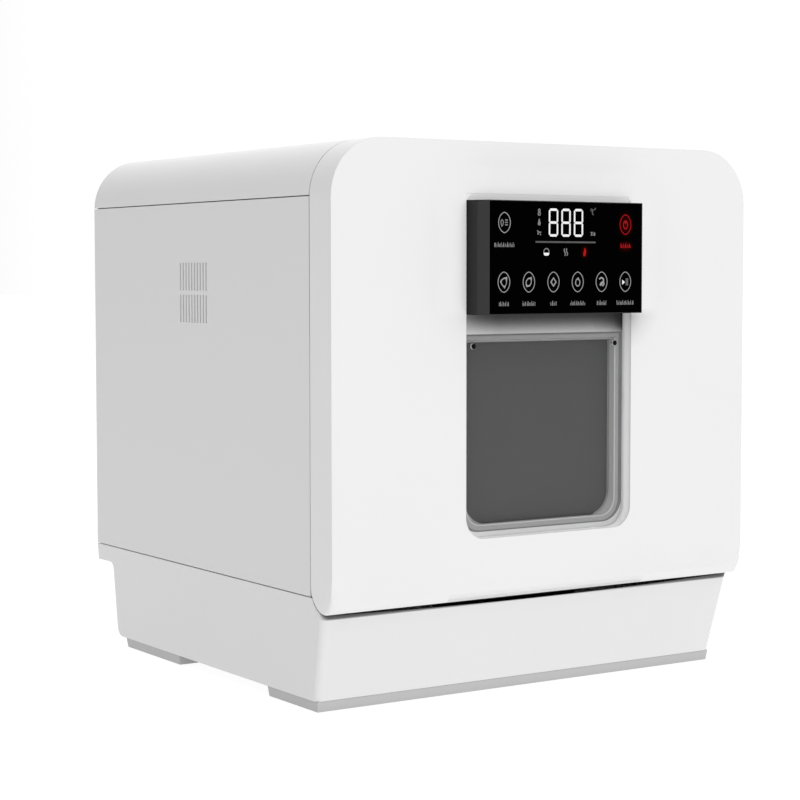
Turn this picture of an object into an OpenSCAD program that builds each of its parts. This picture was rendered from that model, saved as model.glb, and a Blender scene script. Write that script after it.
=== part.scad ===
// Countertop dishwasher with a drop-down front door, a wire rack, two spray arms,
// its own water tank and a drying blower. Millimetres, +Z up, the front faces -Y.

/* [Overall] */
// Width across the side panels
body_w = 420; // [400:1:450]
// Depth from the face of the door to the back
body_d = 423; // [410:1:470]
// Height from the worktop to the top cover
body_h = 450; // [440:1:480]
// Radius of the two rounded top corners
corner_r = 46; // [30:1:56]
// Wall of the moulded covers
wall = 2.5; // [2:0.1:3]
// Height of the seam under the top cover, below the top
cover_drop = 44.3; // [40:0.1:60]
// Seam between neighbouring covers
seam = 0.8; // [0.5:0.1:1.2]
// Gap between pieces that lie beside each other
fit = 0.3; // [0.2:0.05:0.4]

/* [Base and feet] */
// Height of the seam on top of the base
base_h = 92.7; // [90:0.1:96]
// Height of the foot rails
foot_h = 9.2; // [8:0.1:12]
// Height of the step under the rear of the base
step_z = 77.8; // [72:0.1:84]
// How far the lower base stands in from the back
rear_inset = 31; // [28:1:40]
// How far the kick front leans back
kick_lean = 21.9; // [10:0.1:30]
// How far each side of the base leans in
side_taper = 5.8; // [2:0.1:8]
// Radius of the base's two front corners
base_r = 6; // [3:0.5:9]
// Radius of the base's lower rear edge
rear_r = 8; // [4:0.5:12]
// Radius of the hollow corner under the rear step
ledge_r = 6; // [3:0.5:10]
// Dip in the middle of the kick's top edge
kick_dip = 3.4; // [1:0.1:4]
// Length of the front foot rail, front to back
front_rail_d = 79; // [60:1:90]
// Length of the rear foot rail, front to back
rear_rail_d = 107; // [80:1:110]
// Radius of a rubber foot pad
pad_r = 11; // [8:0.5:14]
// Thickness of the steel bottom plate
plate_t = 1.2; // [0.8:0.1:1.6]

/* [Door] */
// Thickness of the door
door_t = 31.6; // [30:0.1:34]
// Height of the door's lower edge
door_z = 81.5; // [79:0.1:84]
// Radius of the door's lower rear edge, about the hinge
hinge_r = 21.4; // [20:0.1:22]
// Gap between the door and the cabinet
door_gap = 1.2; // [1:0.1:1.6]
// How far the lower front edge rolls back
roll_d = 11; // [8:0.5:13]
// How far the lower front edge rolls up in the middle
roll_h = 9; // [6:0.5:12]
// Radius of the lower corners of the flat front face
face_r = 18; // [10:1:24]
// Depth of the dish in the inner liner
dish_d = 8; // [6:0.5:9]
// Thickness of the inner liner
liner_t = 2; // [1.5:0.1:2.4]
// Distance of the liner's dish from each side
dish_side = 50; // [47:0.5:52]
// Hinge pin radius
pin_r = 3; // [2.5:0.1:3.5]
// Radial clearance of the hinge pin in its bracket
pin_gap = 0.05; // [0.03:0.01:0.1]
// Thickness of a hinge bracket
ear_t = 3; // [2.5:0.1:3.5]
// Distance of each hinge bracket from the side
ear_in = 20; // [18:0.5:22]

/* [Recess and window] */
// Width of the recess in the door face
recess_w = 168.8; // [166:0.1:172]
// Height of the recess's lower edge above the door's
recess_rise = 50.7; // [48:0.1:53]
// Distance of the recess's upper edge below the top
recess_drop = 41.5; // [38:0.1:44]
// Depth of the recess
recess_d = 12; // [11:0.1:12.4]
// Radius of the lower recess corners
recess_r = 18; // [12:1:24]
// Width of the window frame
bezel_w = 162.4; // [160:0.1:164]
// Gap between the window frame's lower edge and the recess's
bezel_rise = 3.4; // [3:0.1:4.5]
// Distance of the window frame's upper edge below the control housing
bezel_drop = 17.4; // [15:0.1:22]
// How far the window frame stands out of the recess floor
bezel_proud = 4.3; // [4:0.1:5]
// Width of the border between frame edge and window opening
bezel_border = 6.6; // [6:0.1:8]
// Thickness of the outer pane
pane_t = 3; // [2.5:0.1:3.4]
// Depth of the window's inner wall
sleeve_d = 9; // [8.5:0.1:9.4]
// Radius of a window screw's head
screw_r = 1.7; // [1.4:0.1:2]

/* [Control panel] */
// Width of the control housing
panel_w = 168; // [164:0.1:168.2]
// Width of the glass front face
panel_face_w = 155.8; // [150:0.1:160]
// Gap between the housing's upper edge and the recess's
panel_drop = 5.6; // [4:0.1:9]
// Height of the housing
panel_h = 90.5; // [86:0.1:94]
// How far the panel stands out of the door face
panel_proud = 21.6; // [20:0.1:24]
// Depth of the chamfer along the housing's upright edges
panel_chamfer_d = 7.2; // [5:0.1:9]
// Thickness of the touch glass
glass_t = 2; // [1.5:0.1:3]
// Width of the housing's lip around the touch glass
glass_lip = 0.6; // [0.5:0.1:1.5]
// Depth of the touch glass behind the lip around it
glass_set = 0.2; // [0:0.05:0.5]
// Depth of the finger hollow behind the lower part of the housing
grip_d = 14; // [12:0.5:16]
// Height of the finger hollow
grip_h = 34; // [26:1:40]

/* [Tub] */
// Space between the inside of the tub and each side of the case
tub_side = 38; // [37:0.5:40]
// Height of the tub floor
tub_z = 122; // [120:0.5:124]
// Distance of the tub's ceiling below the top
tub_drop = 52; // [50:0.5:58]
// Wall of the tub
tub_t = 1.5; // [1:0.1:1.8]
// Radius of the tub's long corners
tub_r = 20; // [12:1:24]
// Radius of the sump bowl
sump_r = 43; // [38:0.5:44]
// Distance of the sump's centre in front of the spray arms' axis
sump_ahead = 72; // [70:1:78]
// Radius of the filter cup
filter_r = 28; // [24:1:32]
// Distance of each heater leg from the sump's middle
heater_leg = 12; // [10:0.5:14]

/* [Rack] */
// Gap between the rack and each side of the tub
rack_side = 9; // [8.5:0.5:13]
// Gap between the rack and the tub's front edge
rack_front = 8; // [6:0.5:12]
// Gap between the rack and the tub's back
rack_back = 16; // [10:0.5:24]
// Height of the rack floor
rack_z = 170; // [168:0.5:174]
// Height of the rack's sides
rack_h = 88; // [70:1:100]
// Wire radius of the rims
rim_wire_r = 2.2; // [2:0.1:2.6]
// Wire radius of the basket
wire_r = 1.6; // [1.4:0.1:1.8]
// Bend radius of the basket wires
bend_r = 12; // [8:1:16]
// Wires across the rack
cross_wires = 8; // [5:1:10]
// Wires along the rack
long_wires = 6; // [4:1:8]
// Height of the plate tines
tine_h = 52; // [30:1:60]
// Distance between plate tines
tine_pitch = 22; // [18:1:30]
// Width of the cutlery basket
basket_w = 89; // [80:1:92]
// Length of the cutlery basket
basket_d = 118; // [108:1:124]
// Radius of a rack roller
roller_r = 7.5; // [6:0.5:8]
// Width of a rack roller
roller_w = 6; // [5:0.5:6.5]

/* [Spray arms] */
// Gap between the tip of the lower spray arm and the tub
lower_gap = 14; // [12:1:38]
// Gap between the tip of the upper spray arm and the tub
upper_gap = 36; // [18:1:68]
// Thickness of a spray arm
arm_t = 10; // [8:0.5:11]
// Radius of the feed spigots
spigot_r = 9; // [8:0.5:10]

/* [Tank and filling] */
// Depth of the water tank
tank_d = 62; // [50:1:66]
// Distance of the water tank from each side
tank_side = 45; // [25:1:70]
// Gap between the water tank and the rear panel
tank_gap = 10.1; // [4:0.1:14]
// Wall of the water tank
tank_t = 2; // [1.5:0.1:2.5]
// Distance of the filling port's centre from the right-hand side
fill_in = 115; // [92:1:170]
// Radius of the filling port in the top cover
fill_r = 30; // [26:0.5:31]
// Radius of the funnel's neck
neck_r = 14; // [10:0.5:15]

/* [Drying blower] */
// Distance of the blower's axis below the top
blower_drop = 121; // [115:1:130]
// Distance of the blower's axis behind the door face
blower_back = 226; // [215:1:240]
// Radius of the blower housing
blower_r = 34; // [30:0.5:36]
// Number of air slots in a group
slot_count = 10; // [6:1:10]
// Distance between air slots
slot_pitch = 5.2; // [4.5:0.1:5.4]
// Width of an air slot
slot_w = 2.2; // [1.6:0.1:2.6]
// Height of an air slot
slot_h = 23.4; // [18:0.1:23.6]
// Number of blades on the blower rotor
blade_count = 20; // [12:1:28]

/* [Pumps] */
// Radius of the wash pump's volute
volute_r = 30; // [26:0.5:32]
// Radius of the wash pump's motor
motor_r = 26; // [22:0.5:28]
// Length of the wash pump's motor
motor_len = 62; // [50:1:70]
// Radius of the drain pump
drain_r = 21; // [18:0.5:24]
// Length of the drain pump's body
drain_len = 52; // [46:1:56]
// Outer radius of the drain spigot
drain_spigot_r = 10; // [8:0.5:12]
// Outer radius of the water inlet's thread
inlet_r = 13; // [10:0.5:13.2]
// Length of the two pipe connections behind the base
spigot_len = 24; // [18:1:26]

/* [Hidden] */
$fn = 48;
eps = 0.01;
front_y = panel_proud / 2 - body_d / 2;
back_y = front_y + body_d;
door_back_y = front_y + door_t;
case_y = door_back_y + door_gap;
hinge_y = door_back_y - hinge_r;
hinge_z = door_z + hinge_r;
cover_z = body_h - cover_drop;
side_in = body_w / 2 - wall;
kick_top_z = door_z - door_gap;
kick_top_y = hinge_y + 1.4;
base_back_y = back_y - rear_inset;
rear_y = back_y - 3;
base_mid_y = base_back_y - rear_r;
screw_rows = [base_h + 24, cover_z - 20];
// Tub
frame_t = 3;
pipe_r = 7;
tank_y = rear_y - tank_gap - tank_d;
pipe_y = tank_y - fit - pipe_r;
tub_y = case_y + frame_t;
tub_back_y = pipe_y - pipe_r - fit - tub_t;
tub_w = body_w - 2 * tub_side;
tub_d = tub_back_y - tub_y;
tub_top = body_h - tub_drop;
tub_mid_y = tub_y + tub_d / 2;
sump_y = tub_mid_y - sump_ahead;
sump_floor_z = tub_z - 28;
outlet_x = 23;
outlet_back = 16;
outlet_end_z = sump_floor_z - 20;
gasket_w = 8;
gasket_in = 4;
// Door
ear_x = body_w / 2 - ear_in;
recess_z = door_z + recess_rise;
recess_top = body_h - recess_drop;
panel_z = recess_top - panel_drop - panel_h;
bezel_z = recess_z + bezel_rise;
bezel_top = panel_z - bezel_drop;
dish_w = body_w - 2 * dish_side;
dish_r = 20;
dish_y = door_back_y - dish_d - liner_t;
dish_z = hinge_z + 27;
dish_top = body_h - 55;
ear_r = pin_r + 4;
ear_arm = 3.5;
cheek_t = 2.5;
cheek_gap = 0.6;
inner_pane_t = 3;
bezel_y = front_y + recess_d - bezel_proud;
sleeve_end_y = bezel_y + sleeve_d;
window_w = bezel_w - 2 * bezel_border;
window_z = bezel_z + bezel_border + 0.8;
window_top = bezel_top - bezel_border + 1.4;
strike_z = body_h - 30;
strike_w = 24;
strike_t = 5;
// Boards
board_w = 110;
board_d = 130;
// Control housing
panel_front_y = front_y - panel_proud;
board_t = 1.6;
// Detergent cup
cup_w = 92;
cup_z = bezel_top + 22;
cup_h = 58;
cup_wall = 1.6;
cup_y = front_y + recess_d + wall + 0.8;
cup_lid_y = door_back_y - 0.6;
cup_lid_t = 2;
cup_well_w = 44;
// Rack
rack_w = tub_w - 2 * rack_side;
rack_d = tub_d - rack_front - rack_back;
rack_y = tub_y + rack_front;
rack_top = rack_z + rack_h;
rail_x = rack_w / 2 - rim_wire_r;
rail_t = 1.8;
rail_gap = 0.6;
roller_x = rail_x + rail_t + rail_gap;
roller_z = rack_z + 8;
roller_y = [tub_y + 22, tub_y + 98];
// Spray arms
lower_reach = min(tub_w, tub_d) / 2 - lower_gap;
upper_reach = min(tub_w, tub_d) / 2 - upper_gap;
lower_arm_z = tub_z + 17;
upper_arm_z = tub_top - 26;
hub_r = spigot_r + 6;
// Tank
tank_w = body_w - 2 * tank_side;
tank_z = tub_z;
tank_top = tub_top + 4;
tank_mid_y = tank_y + tank_d / 2;
fill_x = body_w / 2 - fill_in;
fill_y = tank_mid_y - 10;
lid_t = 2.4;
lid_hinge_y = fill_y + fill_r + 6;
lid_hinge_z = body_h - wall - 1.6;
// Blower
blower_z = body_h - blower_drop;
blower_y = front_y + blower_back;
blower_out_x = -side_in + fit;
blower_in_x = -tub_w / 2 - tub_t - 4;
rotor_r = blower_r - 8;
duct_y = blower_y - 62;
// Pumps
floor_z = foot_h + plate_t;
volute_x = 14;
volute_t = 26;
vane_h = 11;
shaft_r = 3;
drain_shaft_r = 2.2;
wash_y = tub_mid_y + 42;
wash_z = floor_z + volute_r + 4;
drain_x = -118;
drain_y = wash_y;
drain_z = floor_z + drain_r + 4;
outlet_z = 42;
inlet_x = -62;
gland_x = body_w / 2 - 60;
cabinet_colour = "whitesmoke";

// A flat shape drawn in X and Z, given a thickness towards the back
module along_y(y, length) {
    translate([0, y + length, 0]) rotate([90, 0, 0]) linear_extrude(length) children();
}

// A flat shape drawn in Y and Z, given a thickness towards the right
module along_x(x, length) {
    translate([x, 0, 0]) rotate([90, 0, 90]) linear_extrude(length) children();
}

// The same piece on the left and on the right
module both_sides() {
    children();
    mirror([1, 0, 0]) children();
}

// A box given by its low corner and its high corner
module block(low, high) {
    translate(low) cube(high - low);
}

// A rectangle with four round corners, centred on the middle plane
module round_rect(w, z0, z1, r) {
    translate([-w / 2, z0 + r]) square([w, z1 - z0 - 2 * r]);
    translate([-w / 2 + r, z0]) square([w - 2 * r, z1 - z0]);
    for (x = [-w / 2 + r, w / 2 - r], z = [z0 + r, z1 - r]) translate([x, z]) circle(r);
}

// A rectangle whose two upper corners are round, as the whole case is from the front
module arch(w, z0, z1, r) {
    translate([-w / 2, z0]) square([w, z1 - z0 - r]);
    translate([-w / 2 + r, z0]) square([w - 2 * r, z1 - z0]);
    for (s = [-1, 1]) translate([s * (w / 2 - r), z1 - r]) circle(r);
}

// A rectangle whose two lower corners are round, as the door's recess and window are
module sill(w, z0, z1, r) {
    translate([-w / 2, z0 + r]) square([w, z1 - z0 - r]);
    translate([-w / 2 + r, z0]) square([w - 2 * r, z1 - z0]);
    for (s = [-1, 1]) translate([s * (w / 2 - r), z0 + r]) circle(r);
}

// A round bar between two points
module bar(a, b, r) {
    d = b - a;
    l = norm(d);
    translate(a) rotate([0, acos(d.z / l), atan2(d.y, d.x)]) cylinder(h=l, r=r);
}

function unit(v) = v / norm(v);

// A pipe through several points, with a round elbow at each turn
module pipe(points, r) {
    for (i = [0:len(points) - 2]) bar(points[i], points[i + 1], r);
    for (i = [1:len(points) - 2]) elbow(points[i], points[i - 1], points[i + 1], r + 0.5);
}

// A ball at p, turned so that its seam looks away from the pipes that come from a and b
module elbow(p, a, b, r) {
    u = unit(a - p);
    v = unit(b - p);
    x = unit(-u - v);
    z = unit(cross(u, v));
    y = cross(z, x);
    multmatrix([[x.x, y.x, z.x, p.x], [x.y, y.y, z.y, p.y], [x.z, y.z, z.z, p.z], [0, 0, 0, 1]])
        sphere(r);
}

// Points of an arc, from angle a0 to angle a1
function arc(x, z, r, a0, a1, n) =
    [for (i = [0:n]) let (a = a0 + (a1 - a0) * i / n) [x + r * cos(a), z + r * sin(a)]];

// Half width of the base at a height
function base_half(z) = body_w / 2 - side_taper * (base_h - z) / (base_h - foot_h);

// Front of the kick at a height
function kick_y(z) = kick_top_y + kick_lean * (kick_top_z - z) / (kick_top_z - foot_h);

// One level of the base from above, inset from its outer faces, its front corners round
module base_level(z, inset) {
    r = base_r - inset;
    y = kick_y(min(z, kick_top_z)) + inset;
    x = base_half(z) - inset;
    both_sides() translate([x - r, y + r, z]) cylinder(h=eps, r=r, $fn=32);
    block([-x, back_y - inset - 1, z], [x, back_y - inset, z + eps]);
}

// The base from the side, inset: a round lower rear edge and a step with a hollow corner
module base_side(inset, low, high) {
    from_y = front_y - 20;
    ledge_z = step_z + inset;
    hollow_r = ledge_r + inset;
    end_y = base_back_y - inset;
    difference() {
        along_x(-body_w / 2 - 1, body_w + 2) {
            translate([from_y, low]) square([base_mid_y - from_y, high - low]);
            translate([from_y, foot_h + rear_r]) square([end_y - from_y, high - foot_h - rear_r]);
            translate([base_mid_y, foot_h + rear_r]) circle(rear_r - inset);
            translate([from_y, ledge_z]) square([back_y - inset - from_y, high - ledge_z]);
            translate([end_y - 1, ledge_z - hollow_r]) square([hollow_r + 1, hollow_r + 1]);
        }
        cross_cylinder(-body_w, end_y + hollow_r, ledge_z - hollow_r, 2 * body_w, hollow_r);
    }
}

// The solid form of the base between its leaning faces, inset from its outer faces
module base_form(inset, low, high) {
    intersection() {
        hull() {
            base_level(low, inset);
            base_level(high, inset);
        }
        base_side(inset, low, high);
    }
}

// The round hollow that the door's lower edge turns in
module hinge_hollow(r) {
    translate([0, hinge_y, hinge_z]) rotate([0, 90, 0])
        cylinder(h=body_w + 20, r=r, center=true, $fn=96);
    block([-body_w, front_y - 40, hinge_z - r], [body_w, hinge_y, body_h]);
}

// The shallow dip along the kick's top edge
module kick_dip_cut() {
    half = body_w / 2 - 12;
    r = (half * half + kick_dip * kick_dip) / (2 * kick_dip);
    a = asin(half / r);
    along_y(front_y - 5, 24)
        polygon(concat(arc(0, kick_top_z - kick_dip + r, r, -90 - a, -90 + a, 24),
            [[half, kick_top_z + 5], [-half, kick_top_z + 5]]));
}

module base_shell() {
    rib_in = 75;
    rib_out = 165;
    ribs = [[tub_y + 26, tub_z - tub_t], [tub_back_y - 30, tub_z - tub_t], [tank_mid_y, tank_z]];
    color(cabinet_colour) difference() {
        union() {
            difference() {
                base_form(0, foot_h, base_h - eps);
                difference() {
                    base_form(wall, foot_h - 1, base_h + 1);
                    hinge_hollow(hinge_r + door_gap + wall);
                    both_sides() for (rib = ribs)
                        block([rib_in, rib[0], base_h - 28], [body_w, rib[0] + wall, base_h + 2]);
                }
            }
            both_sides() for (rib = ribs)
                block([rib_in, rib[0], base_h - 1], [rib_out, rib[0] + wall, rib[1]]);
        }
        hinge_hollow(hinge_r + door_gap);
        kick_dip_cut();
        for (x = [drain_x, inlet_x, gland_x])
            translate([x, base_back_y + 1, outlet_z]) rotate([90, 0, 0]) cylinder(h=wall + 2, r=8);
    }
}

module base_plate() {
    x = base_half(foot_h) - wall - fit;
    corner = base_r - wall;
    y0 = kick_y(foot_h) + wall + fit;
    color("silver") {
        block([-x + corner, y0, foot_h], [x - corner, y0 + corner + eps, floor_z]);
        block([-x, y0 + corner, foot_h], [x, base_mid_y - fit, floor_z]);
    }
}

// A foot rail across the base, with two round pockets for its rubber pads
module foot_rail(y0, y1) {
    x = base_half(foot_h) - 1;
    difference() {
        hull() {
            block([-x, y0, foot_h - eps], [x, y1, foot_h]);
            block([-x + 1.2, y0 + 1.2, 0.6], [x - 1.2, y1 - 1.2, 0.6 + eps]);
        }
        for (s = [-1, 1]) translate([s * (x - 30), (y0 + y1) / 2, 0]) cylinder(h=4, r=pad_r + fit);
    }
}

module front_foot_rail() {
    y = kick_y(foot_h) + 0.6;
    color(cabinet_colour) foot_rail(y, y + front_rail_d);
}

module rear_foot_rail() {
    y = base_back_y - 15;
    color(cabinet_colour) foot_rail(y - rear_rail_d, y);
}

module foot_pads() {
    x = base_half(foot_h) - 31;
    front = kick_y(foot_h) + 0.6 + front_rail_d / 2;
    rear = base_back_y - 15 - rear_rail_d / 2;
    color("dimgray") for (s = [-1, 1], y = [front, rear])
        translate([s * x, y, 0]) cylinder(h=4, r=pad_r);
}

// One side panel, with a folded edge along its top and its bottom
module side_panel() {
    low = base_h + seam;
    high = cover_z - seam;
    block([side_in, case_y, low], [body_w / 2, back_y, high]);
    for (z = [low, high - wall])
        block([side_in - 9, case_y + frame_t + 4, z], [side_in + eps, rear_y - 1, z + wall]);
    difference() {
        block([side_in - 16, rear_y - 2, low], [side_in + eps, rear_y, high]);
        rear_screw_holes(1.7);
    }
}

// Holes for the rear panel's screws, on the right
module rear_screw_holes(r) {
    for (z = screw_rows) translate([side_in - 8, back_y + 1, z]) rotate([90, 0, 0]) cylinder(h=20, r=r);
}

// The two groups of upright air slots in the left panel
module air_slots() {
    y0 = blower_y - (slot_count - 1) * slot_pitch / 2;
    for (i = [0:slot_count - 1], s = [-1, 1])
        translate([-body_w / 2 + wall / 2, y0 + i * slot_pitch, blower_z + s * (slot_h / 2 + 2)])
            cube([wall + 2, slot_w, slot_h], center=true);
}

module left_panel() {
    color(cabinet_colour) difference() {
        mirror([1, 0, 0]) side_panel();
        air_slots();
    }
}

module right_panel() {
    color(cabinet_colour) side_panel();
}

module top_cover() {
    color(cabinet_colour) difference() {
        along_y(case_y, back_y - case_y) difference() {
            arch(body_w, cover_z - corner_r, body_h, corner_r);
            arch(2 * side_in, cover_z - corner_r - 1, body_h - wall, corner_r - wall);
            translate([-body_w, 0]) square([2 * body_w, cover_z]);
        }
        translate([fill_x, fill_y, body_h - wall - 1]) cylinder(h=wall + 2, r=fill_r + 1, $fn=96);
        block([fill_x - 15, fill_y + fill_r - 6, body_h - wall - 1],
            [fill_x + 15, lid_hinge_y + 5.5, body_h + 1]);
    }
}

module rear_panel() {
    inset = wall + fit;
    color(cabinet_colour) difference() {
        along_y(rear_y, 1.5) arch(body_w - 2 * inset, base_h + seam, body_h - inset, corner_r - inset);
        for (i = [0:11], s = [-1, 1])
            translate([s * 120 + (i - 5.5) * 7, rear_y + 0.75, 150]) cube([3, 4, 40], center=true);
        both_sides() rear_screw_holes(1.7);
    }
}

module tub() {
    outer_w = tub_w + 2 * tub_t;
    color("gainsboro") difference() {
        along_y(tub_y, tub_d + tub_t)
            round_rect(outer_w, tub_z - tub_t, tub_top + tub_t, tub_r + tub_t);
        along_y(tub_y - 1, tub_d + 1) round_rect(tub_w, tub_z, tub_top, tub_r);
        translate([0, sump_y, tub_z - 5]) cylinder(h=10, r=sump_r - 4);
        translate([0, tub_mid_y, tub_z - 5]) cylinder(h=10, r=spigot_r + fit);
        translate([0, tub_mid_y, tub_top - 5]) cylinder(h=10, r=spigot_r + fit);
        translate([-tub_w / 2 - 5, duct_y, blower_z]) rotate([0, 90, 0]) cylinder(h=10, r=10);
        for (y = roller_y, s = [-1, 1]) translate([s * tub_w / 2, y, roller_z])
            rotate([0, 90, 0]) cylinder(h=10, r=2.5 + fit, center=true);
    }
}

// The slots that let the hinge brackets reach the door
module ear_slots(y0, y1) {
    both_sides() block([ear_x - ear_t / 2 - 1, y0, hinge_z - ear_arm - 1],
        [ear_x + ear_t / 2 + 1, y1, hinge_z + ear_arm + 1]);
}

module tub_front_frame() {
    inset = wall + fit;
    color("white") difference() {
        along_y(case_y, frame_t) difference() {
            arch(body_w - 2 * inset, base_h + seam, body_h - inset, corner_r - inset);
            round_rect(tub_w, tub_z, tub_top, tub_r);
        }
        along_y(case_y - 1, 2.5) gasket_ring(fit);
        ear_slots(case_y - 1, case_y + frame_t + 1);
        block([-strike_w / 2 - 1, case_y - 1, strike_z - 1],
            [strike_w / 2 + 1, case_y + frame_t + 1, strike_z + strike_t + 3]);
    }
}

// Outline of the seal around the mouth of the tub
module gasket_ring(gap) {
    a = 2 * (gasket_in + gasket_w + gap);
    b = 2 * (gasket_in - gap);
    difference() {
        round_rect(tub_w + a, tub_z - a / 2, tub_top + a / 2, tub_r + a / 2);
        round_rect(tub_w + b, tub_z - b / 2, tub_top + b / 2, tub_r + b / 2);
    }
}

module door_gasket() {
    color("gray") along_y(door_back_y + fit, case_y + 1.5 - door_back_y - fit) gasket_ring(0);
}

module sump() {
    top_z = tub_z - tub_t;
    color("darkgray") translate([0, sump_y, 0]) difference() {
        union() {
            translate([0, 0, sump_floor_z - wall]) cylinder(h=top_z - sump_floor_z + wall, r=sump_r);
            translate([0, 0, top_z - 2]) cylinder(h=2, r=sump_r + 7);
            for (s = [-1, 1]) translate([s * outlet_x, outlet_back, outlet_end_z])
                cylinder(h=sump_floor_z - outlet_end_z, r=8);
        }
        translate([0, 0, sump_floor_z]) cylinder(h=60, r=sump_r - wall);
        for (s = [-1, 1]) translate([s * outlet_x, outlet_back, outlet_end_z - 1]) cylinder(h=40, r=6);
        for (s = [-1, 1]) translate([s * heater_leg, 0, sump_floor_z - wall - 1])
            cylinder(h=wall + 2, r=2.5 + fit);
    }
}

module filter_cup() {
    r = filter_r;
    color("lightgray") translate([0, sump_y, 0]) difference() {
        union() {
            translate([0, 0, sump_floor_z + 14]) cylinder(h=tub_z + 2 - sump_floor_z - 14, r=r);
            translate([0, 0, tub_z + 2]) cylinder(h=1.5, r=r + 3);
            translate([0, 0, tub_z + 5]) cube([2.5, 2 * r, 14], center=true);
        }
        translate([0, 0, sump_floor_z + 16]) cylinder(h=tub_z - sump_floor_z - 16 - 2, r=r - 2);
        for (a = [0:30:330]) rotate(a) translate([r - 4, -1.5, sump_floor_z + 19]) cube([8, 3, 16]);
        for (a = [15:60:345]) rotate(a) translate([r - 10, 0, tub_z - 4]) cylinder(h=10, r=3);
    }
}

module filter_plate() {
    color("silver") translate([0, sump_y, tub_z]) difference() {
        cylinder(h=2 - fit, r=sump_r + 8);
        translate([0, 0, -1]) cylinder(h=4, r=filter_r + fit);
        for (a = [0:20:340]) rotate(a) translate([sump_r - 5, 0, -1]) cylinder(h=4, r=2.2);
    }
}

module heater_ring() {
    z = sump_floor_z + 8;
    ring_r = heater_leg + 8;
    tube_r = 2.2;
    color("dimgray") translate([0, sump_y, 0]) {
        translate([0, 0, z]) rotate(25) rotate_extrude(angle=310) translate([ring_r, 0]) circle(tube_r);
        for (s = [-1, 1]) translate([s * heater_leg, 0, 0]) {
            translate([0, 0, sump_floor_z - wall - 6]) cylinder(h=z - sump_floor_z + wall + 6, r=2.5);
            translate([0, 0, z]) rotate([0, s * 90, 0]) cylinder(h=ring_r - heater_leg, r=tube_r);
        }
    }
}

// A cylinder whose axis lies across the cabinet
module cross_cylinder(x, y, z, h, r) {
    translate([x, y, z]) rotate([0, 90, 0]) cylinder(h=h, r=r);
}

module wash_pump_housing() {
    color("darkgray") difference() {
        union() {
            cross_cylinder(volute_x, wash_y, wash_z, volute_t, volute_r);
            translate([volute_x + volute_t / 2, wash_y + volute_r - 9, wash_z]) cylinder(h=40, r=9);
            cross_cylinder(volute_x - 14, wash_y, wash_z, 16, 10);
            block([volute_x + 4, wash_y - 22, floor_z],
                [volute_x + volute_t - 4, wash_y + 22, wash_z - 18]);
        }
        cross_cylinder(volute_x + 4, wash_y, wash_z, volute_t - 8, volute_r - 4);
        cross_cylinder(volute_x - 20, wash_y, wash_z, 30, 8);
        cross_cylinder(volute_x, wash_y, wash_z, volute_t + 1, 4);
        translate([volute_x + volute_t / 2, wash_y + volute_r - 9, wash_z]) cylinder(h=60, r=pipe_r);
    }
}

module wash_pump_motor() {
    x = volute_x + volute_t;
    color("slategray") difference() {
        union() {
            cross_cylinder(x, wash_y, wash_z, motor_len, motor_r);
            cross_cylinder(x + motor_len, wash_y, wash_z, 6, motor_r - 9);
            block([x + 8, wash_y - 20, floor_z], [x + motor_len - 8, wash_y + 20, wash_z - 12]);
        }
        cross_cylinder(x - 1, wash_y, wash_z, 22, shaft_r + pin_gap);
        for (a = [0:30:330]) translate([x + motor_len - 20, wash_y, wash_z]) rotate([a, 0, 0])
            translate([0, 0, motor_r]) cube([30, 2.5, 4], center=true);
    }
}

// A pump rotor: a disc with curved vanes on a short shaft across the cabinet
module impeller(x, y, z, r, t, shaft_r, shaft_l) {
    translate([x, y, z]) rotate([0, 90, 0]) {
        cylinder(h=2, r=r);
        cylinder(h=shaft_l, r=shaft_r);
        translate([0, 0, 2 - t]) cylinder(h=t, r=shaft_r + 2);
        for (a = [0:60:300]) rotate(a) translate([r * 0.55, 0, 1 - t / 2 + eps]) rotate(25)
            cube([r * 0.7, 1.6, t - 2], center=true);
    }
}

module wash_impeller() {
    x = volute_x + volute_t - 9;
    color("tan") impeller(x, wash_y, wash_z, volute_r - 8, vane_h, shaft_r, volute_t);
}

module drain_pump_housing() {
    color("darkgray") difference() {
        union() {
            cross_cylinder(drain_x, drain_y, drain_z, drain_len, drain_r);
            cross_cylinder(drain_x - 22, drain_y, drain_z, 24, drain_r - 5);
            translate([drain_x + drain_len - 12, drain_y + drain_r - 7, drain_z])
                rotate([-90, 0, 0]) cylinder(h=22, r=7);
            cross_cylinder(drain_x + drain_len - 2, drain_y, drain_z, 16, 8);
            block([drain_x + 6, drain_y - 16, floor_z],
                [drain_x + drain_len - 6, drain_y + 16, drain_z - 12]);
        }
        cross_cylinder(drain_x + drain_len - 22, drain_y, drain_z, 18, drain_r - 3);
        cross_cylinder(drain_x + drain_len - 8, drain_y, drain_z, 40, 6);
        cross_cylinder(drain_x + 6, drain_y, drain_z, 30, drain_shaft_r + pin_gap);
        translate([drain_x + drain_len - 12, drain_y + drain_r - 8, drain_z])
            rotate([-90, 0, 0]) cylinder(h=30, r=5);
    }
}

module drain_impeller() {
    color("tan") translate([2 * (drain_x + drain_len - 19), 0, 0]) mirror([1, 0, 0])
        impeller(drain_x + drain_len - 19, drain_y, drain_z, drain_r - 6, 9, drain_shaft_r, 16);
}

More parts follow.
